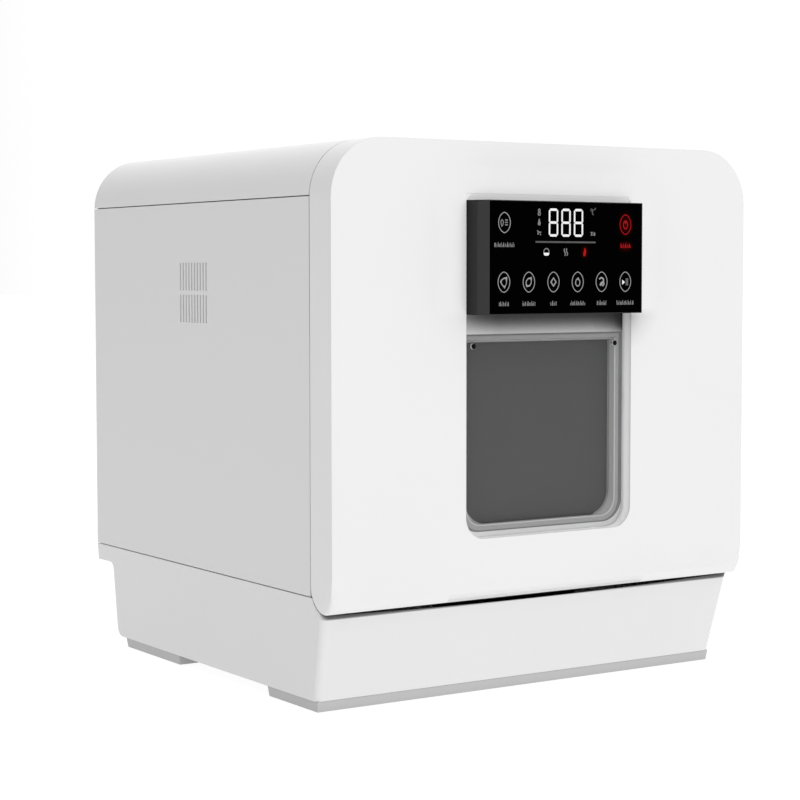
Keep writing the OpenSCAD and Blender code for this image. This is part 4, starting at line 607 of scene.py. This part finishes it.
def turned(profile, x, z, steps):
    """Profile point (r, depth) turned about a front-to-back axis: (x + r sin a, depth, z + r cos a)."""
    r, depth = np.array(profile, float).T
    a = np.linspace(0.0, 2.0 * np.pi, steps, endpoint=False)
    y = np.broadcast_to(PANE_FRONT - 0.3 + depth[:, None], (len(r), steps))
    verts = np.stack([x + r[:, None] * np.sin(a), y, z + r[:, None] * np.cos(a)], axis=-1).reshape(-1, 3)
    i, j = np.meshgrid(np.arange(len(r) - 1), np.arange(steps), indexing="ij")
    j_next = (j + 1) % steps
    quads = np.stack([i * steps + j, i * steps + j_next, (i + 1) * steps + j_next, (i + 1) * steps + j], axis=-1)
    caps = [list(range(steps))[::-1], list(range((len(r) - 1) * steps, len(r) * steps))]
    return verts, quads.reshape(-1, 4).tolist() + caps


left_verts, left_faces = turned(SCREW_PROFILE, -SCREW_X, SCREW_Z, SCREW_STEPS)
right_verts, right_faces = turned(SCREW_PROFILE, SCREW_X, SCREW_Z, SCREW_STEPS)
both_faces = left_faces + [[v + len(left_verts) for v in f] for f in right_faces]
row_finish = np.zeros((len(SCREW_PROFILE) - 1, SCREW_STEPS), int)
row_finish[CUP_ROWS] = 1
one_finish = np.append(row_finish, [0, 0])
# The pale cups carry a painted highlight on top of the light their skirts catch.
screws = new_piece("window_cup_screws", np.vstack([left_verts, right_verts]), both_faces, "door",
                   [screw_black, pale_painted_highlight], np.tile(one_finish, 2))
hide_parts("window_screws")

# %% [markdown]
# ## Slope over the panel
#
# Over the touch panel the hollow doesn't end in a square step: a shallow slope, a shade greyer than the door, runs
# from the door's front down behind the panel, with slanted ends. Its colour is lifted by painted light where the
# panel shuts out the sky. It is a profile across the slope carried from left to right, whose small lip grows to the
# full height at both ends.

# %% Slope above the panel
SLOPE_HALF_W, SLOPE_FLAT_W = 84.35, 79.5
SLOPE_TOP, SLOPE_LOW, SLOPE_DEPTH, LIP = 408.45, 403.2, 0.6, 0.1
slope_x = np.array([-SLOPE_HALF_W, -SLOPE_FLAT_W, SLOPE_FLAT_W, SLOPE_HALF_W])
lip_z = np.array([SLOPE_LOW + LIP, SLOPE_TOP - LIP, SLOPE_TOP - LIP, SLOPE_LOW + LIP])
front_mm, floor_mm = DOOR_FRONT / MM, HOLLOW_FLOOR / MM
profile = [(front_mm, SLOPE_TOP), (front_mm, None), (front_mm + SLOPE_DEPTH, SLOPE_LOW),
           (floor_mm - 0.05, SLOPE_LOW), (floor_mm - 0.05, SLOPE_TOP)]
rows = [np.stack([slope_x, np.full(4, y), lip_z if z is None else np.full(4, z)], axis=1) for y, z in profile]
verts = np.stack(rows, axis=1).reshape(-1, 3)
sides = len(profile)
i, k = np.meshgrid(np.arange(3), np.arange(sides), indexing="ij")
k_next = (k + 1) % sides
quads = np.stack([i * sides + k, i * sides + k_next, (i + 1) * sides + k_next, (i + 1) * sides + k], axis=-1)
ends = [list(range(sides))[::-1], list(range(3 * sides, 4 * sides))]
new_piece("panel_slope", verts, quads.reshape(-1, 4).tolist() + ends, "door", [slope_white], smooth=False)

# %% [markdown]
# ## Marks on the touch panel
#
# The digits, key rings and symbols are windows in the black print behind the acrylic, lit by LEDs. They
# could be painted into the acrylic's material with masks, but a mask has no thickness and blurs when
# the camera comes close. Here each mark is a stroke: a path in the plane of the panel, with a width at
# each of its points, given the thickness of a printed film. A ring is a stroke that meets itself.

# %% Strokes
PRINT_MM, MITRE_LEAST = 0.05, 0.5
panel_low, panel_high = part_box("touch_glass")
PANEL_Y_MM = panel_low[1] / MM


def arc(x, z, rx, rz, start_deg, end_deg, steps=24):
    """Points (x + rx sin a, z + rz cos a), with a clockwise from straight up, in degrees."""
    a = np.radians(np.linspace(start_deg, end_deg, steps))
    return np.stack([x + rx * np.sin(a), z + rz * np.cos(a)], axis=1)


def lemon(x, z, rx, rz, steps=64):
    """An oval with a soft point above and below: x is rx sin a times |sin a| ** 0.22, z is rz cos a."""
    a = np.linspace(0.0, 2.0 * np.pi, steps)
    return np.stack([x + rx * np.sin(a) * np.abs(np.sin(a)) ** 0.22, z + rz * np.cos(a)], axis=1)


def stroke(points, width, front_mm=PRINT_MM):
    """A path with width: each point steps half the width to both sides, and further at a sharp corner."""
    path = np.asarray(points, float)
    closed = np.allclose(path[0], path[-1])
    if closed:
        path = path[:-1]
    out = np.roll(path, -1, axis=0) - path
    out /= np.linalg.norm(out, axis=1, keepdims=True)
    into = np.roll(out, 1, axis=0)
    if not closed:
        out[-1], into[0] = out[-2], out[0]
    along = out + into
    along /= np.linalg.norm(along, axis=1, keepdims=True)
    mitre = np.clip(np.sum(along * out, axis=1, keepdims=True), MITRE_LEAST, 1.0)
    across = np.stack([along[:, 1], -along[:, 0]], axis=1) / mitre
    half = 0.5 * np.broadcast_to(width, len(path))[:, None] * across
    left, right = path - half, path + half
    front, back = PANEL_Y_MM - front_mm, PANEL_Y_MM + front_mm
    rows = [(left, front), (right, front), (right, back), (left, back)]
    verts = np.stack([np.column_stack([row[:, 0], np.full(len(row), y), row[:, 1]]) for row, y in rows], axis=1)
    count = len(path)
    i, k = np.meshgrid(np.arange(count if closed else count - 1), np.arange(4), indexing="ij")
    i_next, k_next = (i + 1) % count, (k + 1) % 4
    quads = np.stack([4 * i + k, 4 * i + k_next, 4 * i_next + k_next, 4 * i_next + k], axis=-1).reshape(-1, 4)
    if not closed:
        quads = np.vstack([quads, [[3, 2, 1, 0]], [4 * (count - 1) + np.arange(4)]])
    return verts.reshape(-1, 3), quads


def join_strokes(name, strokes, material, body="door"):
    """One mesh from many strokes."""
    starts = np.cumsum([0] + [len(v) for v, _ in strokes])
    verts = np.vstack([v for v, _ in strokes])
    faces = np.vstack([f + first for (_, f), first in zip(strokes, starts)])
    return new_piece(name, verts, faces, body, [material], smooth=False)


def shape(x, z, corners, width, closed=True):
    """A stroke through corners given from the middle of a key, in millimetres."""
    places = [(x + dx, z + dz) for dx, dz in corners]
    return stroke(places + places[:1] if closed else places, width)


# %% [markdown]
# The light behind the marks is an LED seen through a milky film. It is bright but not a lamp, so a
# mark's emission is just its colour in the picture, and a slow noise makes it a little uneven. The
# film under it is dark, as the rest of the print is.

# %% LED light through film
def led_film(name, colour, spot_mm=4.0):
    """A lit mark: its own colour as emission, uneven over a few millimetres, on dark film."""
    material, tree, shader, place = new_material(name)
    shader.inputs["Base Color"].default_value = linear("#080808")
    shader.inputs["Roughness"].default_value = 0.5
    shader.inputs["Specular IOR Level"].default_value = 0.0
    shader.inputs["Emission Color"].default_value = linear(colour)
    spots = add_node(tree, "ShaderNodeTexNoise", {"Vector": place}, Scale=1.0 / (spot_mm * MM))
    glow = add_node(tree, "ShaderNodeMapRange", {0: spots.outputs["Fac"], 3: 0.85, 4: 1.15})
    tree.links.new(glow.outputs[0], shader.inputs["Emission Strength"])
    return material


led_white = led_film("led_white_through_film", "#F6F6F6")
led_grey = led_film("led_grey_through_film", "#A0A0A0")
led_dim = led_film("led_dimmed_through_film", "#828282")
led_faint = led_film("led_faint_through_film", "#5C5C5C")
led_red = led_film("led_red_through_film", "#AC161B")

# %% [markdown]
# ### Digits
#
# A display digit has seven bars, each a stroke that narrows to a point at both ends, so that its
# neighbours meet it on a slant with a hair of dark between them.

# %% Three digits
DIGIT_W, DIGIT_H, DIGIT_PITCH = 8.0, 20.6, 12.7
DIGIT_LEFT, DIGIT_LOW = -18.2, 375.5
ACROSS_W, UPRIGHT_W, BAR_GAP = 1.9, 1.5, 0.2


def digit_bar(start, end, width):
    """A bar between two corners of the digit, pointed at its ends."""
    start, end = np.array(start, float), np.array(end, float)
    along = (end - start) / np.linalg.norm(end - start)
    a, b = start + BAR_GAP * along, end - BAR_GAP * along
    tip = 0.5 * width * along
    return stroke([a, a + tip, b - tip, b], [0.1, width, width, 0.1])


def digit(left):
    """All seven bars, between three heights and two sides."""
    low, mid, high = DIGIT_LOW, DIGIT_LOW + DIGIT_H / 2, DIGIT_LOW + DIGIT_H
    right = left + DIGIT_W
    halves = ((low, mid), (mid, high))
    across = [digit_bar((left, z), (right, z), ACROSS_W) for z in (low, mid, high)]
    upright = [digit_bar((x, z0), (x, z1), UPRIGHT_W) for x in (left, right) for z0, z1 in halves]
    return across + upright


digits = [bar for i in range(3) for bar in digit(DIGIT_LEFT + i * DIGIT_PITCH)]
join_strokes("lit_digits", digits, led_white)

# %% [markdown]
# ### Keys
#
# Each key is a lemon-shaped ring with a small symbol. The symbols are the plain ones that any such
# machine has: a padlock, a power mark, bowls and drops for the programs, and start with pause.

# %% Rings and symbols of the keys
KEY_RX, KEY_RZ, RING_W = 5.75, 8.0, 0.62
PROGRAM_Z, PROGRAM_X = 338.2, (-63.2, -38.6, -14.0, 10.7, 35.4, 60.3)
LOCK_KEY, POWER_KEY = (-62.8, 385.2), (60.2, 385.0)
LINE_W, THICK_W = 0.8, 1.2


def ring(x, z):
    """The outline of a key."""
    return stroke(lemon(x, z, KEY_RX, KEY_RZ), RING_W)


bowl_x, cup_x, fast_x, fruit_x, fresh_x, start_x = PROGRAM_X
bowl = [shape(bowl_x, PROGRAM_Z,
              [(2.5, 3.4), (0.0, 3.1), (-2.0, 2.0), (-3.1, 0.5), (-2.2, -1.6), (-0.7, -3.0), (0.5, -4.1),
               (1.5, -2.7), (2.5, -0.8)],
              [1.5, 1.0, 0.8, 1.3, 0.8, 0.9, 1.5, 0.7, 0.5])]
cup = [shape(cup_x, PROGRAM_Z,
             [(2.2, 3.2), (-0.8, 2.8), (-2.6, 0.8), (-2.9, -1.2), (-2.1, -3.2), (0.6, -3.0), (2.2, -1.0), (2.4, 1.2)],
             [1.5, 0.9, 0.8, 0.8, 1.4, 1.1, 0.7, 0.7])]
square_on_end = [shape(fast_x, PROGRAM_Z, [(0.0, 3.2), (2.6, 0.0), (0.0, -3.2), (-2.6, 0.0)], 0.95)]
fruit = [
    stroke(arc(fruit_x, PROGRAM_Z - 0.5, 2.2, 2.9, 0, 360), LINE_W),
    stroke([(fruit_x + 0.1, PROGRAM_Z + 1.7), (fruit_x + 0.5, PROGRAM_Z + 3.6)], [2.6, 0.8]),
]
fresh = [
    stroke(arc(fresh_x - 0.2, PROGRAM_Z + 1.3, 2.2, 2.0, -70, 130), THICK_W),
    stroke([(fresh_x + 1.4, PROGRAM_Z + 0.2), (fresh_x - 0.2, PROGRAM_Z - 1.4), (fresh_x - 1.6, PROGRAM_Z - 3.0)],
           [1.0, 2.4, 1.4]),
    stroke(arc(fresh_x + 0.8, PROGRAM_Z - 1.4, 1.6, 1.6, 20, 190), THICK_W),
]
play = [stroke([(start_x - 3.2, PROGRAM_Z - 0.4), (start_x - 0.6, PROGRAM_Z - 0.4)], [4.0, 0.3])]
pause = [stroke([(start_x + dx, PROGRAM_Z - 3.0), (start_x + dx, PROGRAM_Z + 2.8)], 0.75) for dx in (1.0, 2.5)]
rings = [ring(x, PROGRAM_Z) for x in PROGRAM_X] + [ring(*LOCK_KEY)]
join_strokes("lit_keys", rings + bowl + cup + square_on_end + fruit + fresh, led_grey)

lock_x, lock_z = LOCK_KEY
lock_body = [shape(lock_x, lock_z, [(-3.4, 1.4), (-2.3, 2.3), (-0.9, 0.5), (-1.7, -2.0), (-2.6, -2.9), (-3.4, -0.8)],
                   0.75)]
lock_rows = [stroke([(lock_x + 0.7, lock_z + dz), (lock_x + 3.2, lock_z + dz)], 1.0) for dz in (2.0, 0.1, -1.8)]
join_strokes("lit_lock", lock_body + lock_rows + pause, led_dim)

# %% [markdown]
# ### Display symbols and captions
#
# Beside the digits stand small signs for salt, rinse aid and water, a degree mark and a time mark. Under
# the line are the signs for washing, drying and heating, the last one red. The captions are too small
# to read at this distance, so each is a row of fine upright ticks of uneven height, with no letters.

# %% Small signs
SIGN_X = -28.5
SALT_Z, RINSE_Z, TAP_Z = 393.9, 386.0, 377.6
LINE_Z, STATE_Z = 370.2, 362.2
salt = [
    stroke(arc(SIGN_X, SALT_Z + 1.2, 0.8, 1.2, 0, 360), 0.9),
    stroke(arc(SIGN_X, SALT_Z - 1.4, 1.1, 1.1, 0, 360), 0.9),
]
rinse = [stroke([(SIGN_X, RINSE_Z - 2.6), (SIGN_X, RINSE_Z - 1.0), (SIGN_X, RINSE_Z + 2.8)], [1.8, 3.0, 0.5])]
tap = [
    stroke([(SIGN_X - 2.0, TAP_Z + 1.6), (SIGN_X + 0.2, TAP_Z + 0.2), (SIGN_X + 2.0, TAP_Z + 0.4)], 0.9),
    stroke([(SIGN_X - 1.2, TAP_Z - 1.6), (SIGN_X - 1.2, TAP_Z + 0.2)], 1.1),
    stroke([(SIGN_X + 0.6, TAP_Z - 0.9), (SIGN_X + 1.8, TAP_Z - 1.8)], 0.9),
]
degree = [
    stroke(arc(24.6, 396.4, 0.8, 0.9, 0, 360), 0.6),
    stroke(arc(27.2, 394.6, 1.7, 2.3, 200, 330), 1.0),
    stroke([(27.4, 396.4), (28.9, 398.0)], 1.0),
]
time_mark = [
    stroke([(24.9, 375.8), (24.9, 377.2), (24.9, 378.6)], [2.6, 0.7, 2.6]),
    stroke([(27.6, 375.6), (27.6, 378.2)], 1.7),
]
divider = [stroke([(-32.1, LINE_Z), (28.9, LINE_Z)], 1.35)]
wash_hood = [stroke(arc(-21.2, STATE_Z, 2.6, 2.8, -100, 100), 0.85)]
wash_bowl = [stroke([(-21.2, STATE_Z - 2.9), (-21.2, STATE_Z - 1.8), (-21.2, STATE_Z - 0.6)], [3.4, 5.4, 5.6])]
curl = np.linspace(0.0, 2.0 * np.pi, 16)
dry_sign = [stroke(np.stack([-1.6 + off + 0.6 * np.sin(curl), STATE_Z + 2.9 * (curl / np.pi - 1.0)], axis=1), 0.95)
            for off in (-1.1, 1.1)]
heat_sign = [stroke([(17.7 + dx, STATE_Z + dz) for dx, dz in ((-0.5, -3.3), (-0.3, -1.6), (0.4, 0.9), (0.2, 3.3))],
                    [1.4, 2.6, 2.4, 0.9])]
join_strokes("lit_signs", salt + rinse + tap + time_mark + wash_hood + dry_sign, led_dim)
join_strokes("lit_divider", divider + degree, led_faint)
join_strokes("lit_bright_marks", play + wash_bowl, led_white)

power_x, power_z = POWER_KEY
power_mark = [
    ring(*POWER_KEY),
    stroke(lemon(power_x, power_z - 0.2, 2.2, 3.3), 0.8),
    stroke([(power_x, power_z + 0.4), (power_x, power_z + 2.6)], [0.6, 2.2]),
]
join_strokes("lit_power", power_mark + heat_sign, led_red)


# %% Captions without letters
TICK_PITCH = 1.12


def caption(x, z, length, seed):
    """Ticks every 1.12 mm; width and height follow sines of the seed: 0.4 to 0.8 mm and 2.0 to 3.8 mm."""
    count = int(length / TICK_PITCH)
    n = np.arange(count)
    places = x + (n - (count - 1) / 2.0) * TICK_PITCH
    heights = 2.9 + 0.9 * np.sin(seed + 2.4 * n)
    widths = 0.6 + 0.2 * np.sin(3.1 * seed + 1.7 * n)
    lean = 0.35 * np.sin(1.3 * seed + 2.9 * n)
    return [stroke([(px, z - 1.5), (px + dx, z - 1.5 + h)], w) for px, dx, h, w in zip(places, lean, heights, widths)]


CAPTION_Z, UPPER_CAPTION_Z = 320.8, 367.4
CAPTION_LENGTHS = (10.6, 13.8, 6.8, 15.8, 10.2, 18.8)
captions = [tick for i, (x, length) in enumerate(zip(PROGRAM_X, CAPTION_LENGTHS))
            for tick in caption(x, CAPTION_Z, length, 1.7 * i)]
captions += caption(LOCK_KEY[0], UPPER_CAPTION_Z, 20.5, 0.4)
join_strokes("lit_captions", captions, led_dim)
join_strokes("lit_power_caption", caption(POWER_KEY[0] + 0.2, UPPER_CAPTION_Z, 11.5, 2.2), led_red)

# %% [markdown]
# Red light spreads a little in the acrylic, so each red mark has a faint halo. It could be left to the
# compositor, but then it would be missing from the model. Here it is a very thin sheet on the acrylic,
# with an attribute that holds the glow at each of its points, falling off as a bell curve.

# %% Red halo
HALOS = [(60.2, 385.0, 10.0, 13.5), (60.4, 367.4, 9.5, 6.5), (17.7, 362.2, 5.5, 7.0)]
HALO_N, HALO_LIFT, HALO_T = 25, 0.03, 0.02
halo_verts, halo_faces, halo_glow = [], [], []
for x, z, half_w, half_h in HALOS:
    s, t = np.meshgrid(np.linspace(-1.0, 1.0, HALO_N), np.linspace(-1.0, 1.0, HALO_N), indexing="ij")
    y = np.full_like(s, PANEL_Y_MM - HALO_LIFT)
    bell = np.exp(-3.0 * (s ** 2 + t ** 2)) * (1.0 - s ** 2) * (1.0 - t ** 2)
    a, b = np.meshgrid(np.arange(HALO_N - 1), np.arange(HALO_N - 1), indexing="ij")
    first = len(halo_verts) * HALO_N ** 2 + a * HALO_N + b
    halo_faces.append(np.stack([first, first + HALO_N, first + HALO_N + 1, first + 1], axis=-1).reshape(-1, 4))
    halo_verts.append(np.stack([x + half_w * s, y, z + half_h * t], axis=-1).reshape(-1, 3))
    halo_glow.append(bell.ravel())

halo_red, halo_tree, halo_shader, _ = new_material("red_light_in_acrylic")
halo_shader.inputs["Base Color"].default_value = linear("#000000")
halo_shader.inputs["Specular IOR Level"].default_value = 0.006
halo_shader.inputs["Roughness"].default_value = 0.15
halo_shader.inputs["Emission Color"].default_value = linear("#C2161C")
glow = add_node(halo_tree, "ShaderNodeAttribute", attribute_name="glow").outputs["Fac"]
faint = add_node(halo_tree, "ShaderNodeMath", {0: glow, 1: 0.07}, operation="MULTIPLY")
halo_tree.links.new(faint.outputs[0], halo_shader.inputs["Emission Strength"])
halo = new_piece("red_halo", np.vstack(halo_verts), np.vstack(halo_faces), "door", [halo_red], smooth=False)
halo.data.attributes.new("glow", "FLOAT", "POINT").data.foreach_set("value", np.concatenate(halo_glow))
thick = halo.modifiers.new("thickness", "SOLIDIFY")
thick.thickness, thick.offset = HALO_T * MM, -1.0

# %% [markdown]
# ## Studio
#
# The photograph has a pure white ground and no shadow on it, the mark of a light table: a sheet of
# white acrylic lit from below, in a white tent. Most of the floor's brightness is its own glow, so the
# machine's shadow all but drowns. The tent is the world, dimmer to the machine's left, which gives
# the side its grey, and one soft panel from the front lifts the door.

# %% Light table
def flat_sheet(name, size, z):
    """A square in the XY plane at height z, centred on the origin."""
    half = size / 2.0
    corners = np.array([[-half, -half, z], [half, -half, z], [half, half, z], [-half, half, z]])
    mesh = bpy.data.meshes.new(name)
    mesh.from_pydata(corners.tolist(), [], [(0, 1, 2, 3)])
    made = bpy.data.objects.new(name, mesh)
    bpy.context.scene.collection.objects.link(made)
    return made


floor = flat_sheet("floor", 60.0, 0.0)
light_table, table_tree, table_shader, _ = new_material("opal_acrylic_light_table")
table_shader.inputs["Base Color"].default_value = linear("#6E6E6E")
table_shader.inputs["Roughness"].default_value = 0.9
table_shader.inputs["Specular IOR Level"].default_value = 0.0
table_shader.inputs["Emission Color"].default_value = (1.0, 1.0, 1.0, 1.0)
table_shader.inputs["Emission Strength"].default_value = 0.93
floor.data.materials.append(light_table)
print("floor at z 0")

# %% White tent and front panel
scene = bpy.context.scene
scene.view_settings.view_transform = "Standard"
world = bpy.data.worlds.new("white_tent")
world.use_nodes = True
tent = world.node_tree
direction = add_node(tent, "ShaderNodeTexCoord").outputs["Generated"]
DIM_TOWARDS = (-0.8, 0.6, 0.0)
DIM_FROM, DIM_LEFT = 0.22, 0.0
towards = add_node(tent, "ShaderNodeVectorMath", {0: direction}, operation="DOT_PRODUCT")
towards.inputs[1].default_value = DIM_TOWARDS
dim = add_node(tent, "ShaderNodeMapRange", {"Value": towards.outputs["Value"]},
               From_Min=DIM_FROM, From_Max=1.0, To_Min=1.02, To_Max=DIM_LEFT)
tent.links.new(dim.outputs["Result"], tent.nodes["Background"].inputs["Strength"])
tent.nodes["Background"].inputs["Color"].default_value = (1.0, 1.0, 1.0, 1.0)
scene.world = world


def light_panel(name, place, target, size, power):
    """A square area light at one place, turned to face another."""
    data = bpy.data.lights.new(name, "AREA")
    data.size = size
    data.energy = power
    made = bpy.data.objects.new(name, data)
    scene.collection.objects.link(made)
    away = np.array(place) - np.array(target)
    away /= np.linalg.norm(away)
    side = np.cross((0.0, 0.0, 1.0), away)
    side /= np.linalg.norm(side)
    turned = Matrix(np.array([side, np.cross(away, side), away]).T.tolist()).to_4x4()
    made.matrix_world = Matrix.Translation(place) @ turned
    return made


light_panel("front_panel", (-0.9, -2.7, 1.7), (0.0, 0.0, 0.25), 2.0, 8.0)
light_panel("top_panel", (0.3, 0.3, 2.4), (0.0, 0.0, 0.3), 2.0, 18.0)
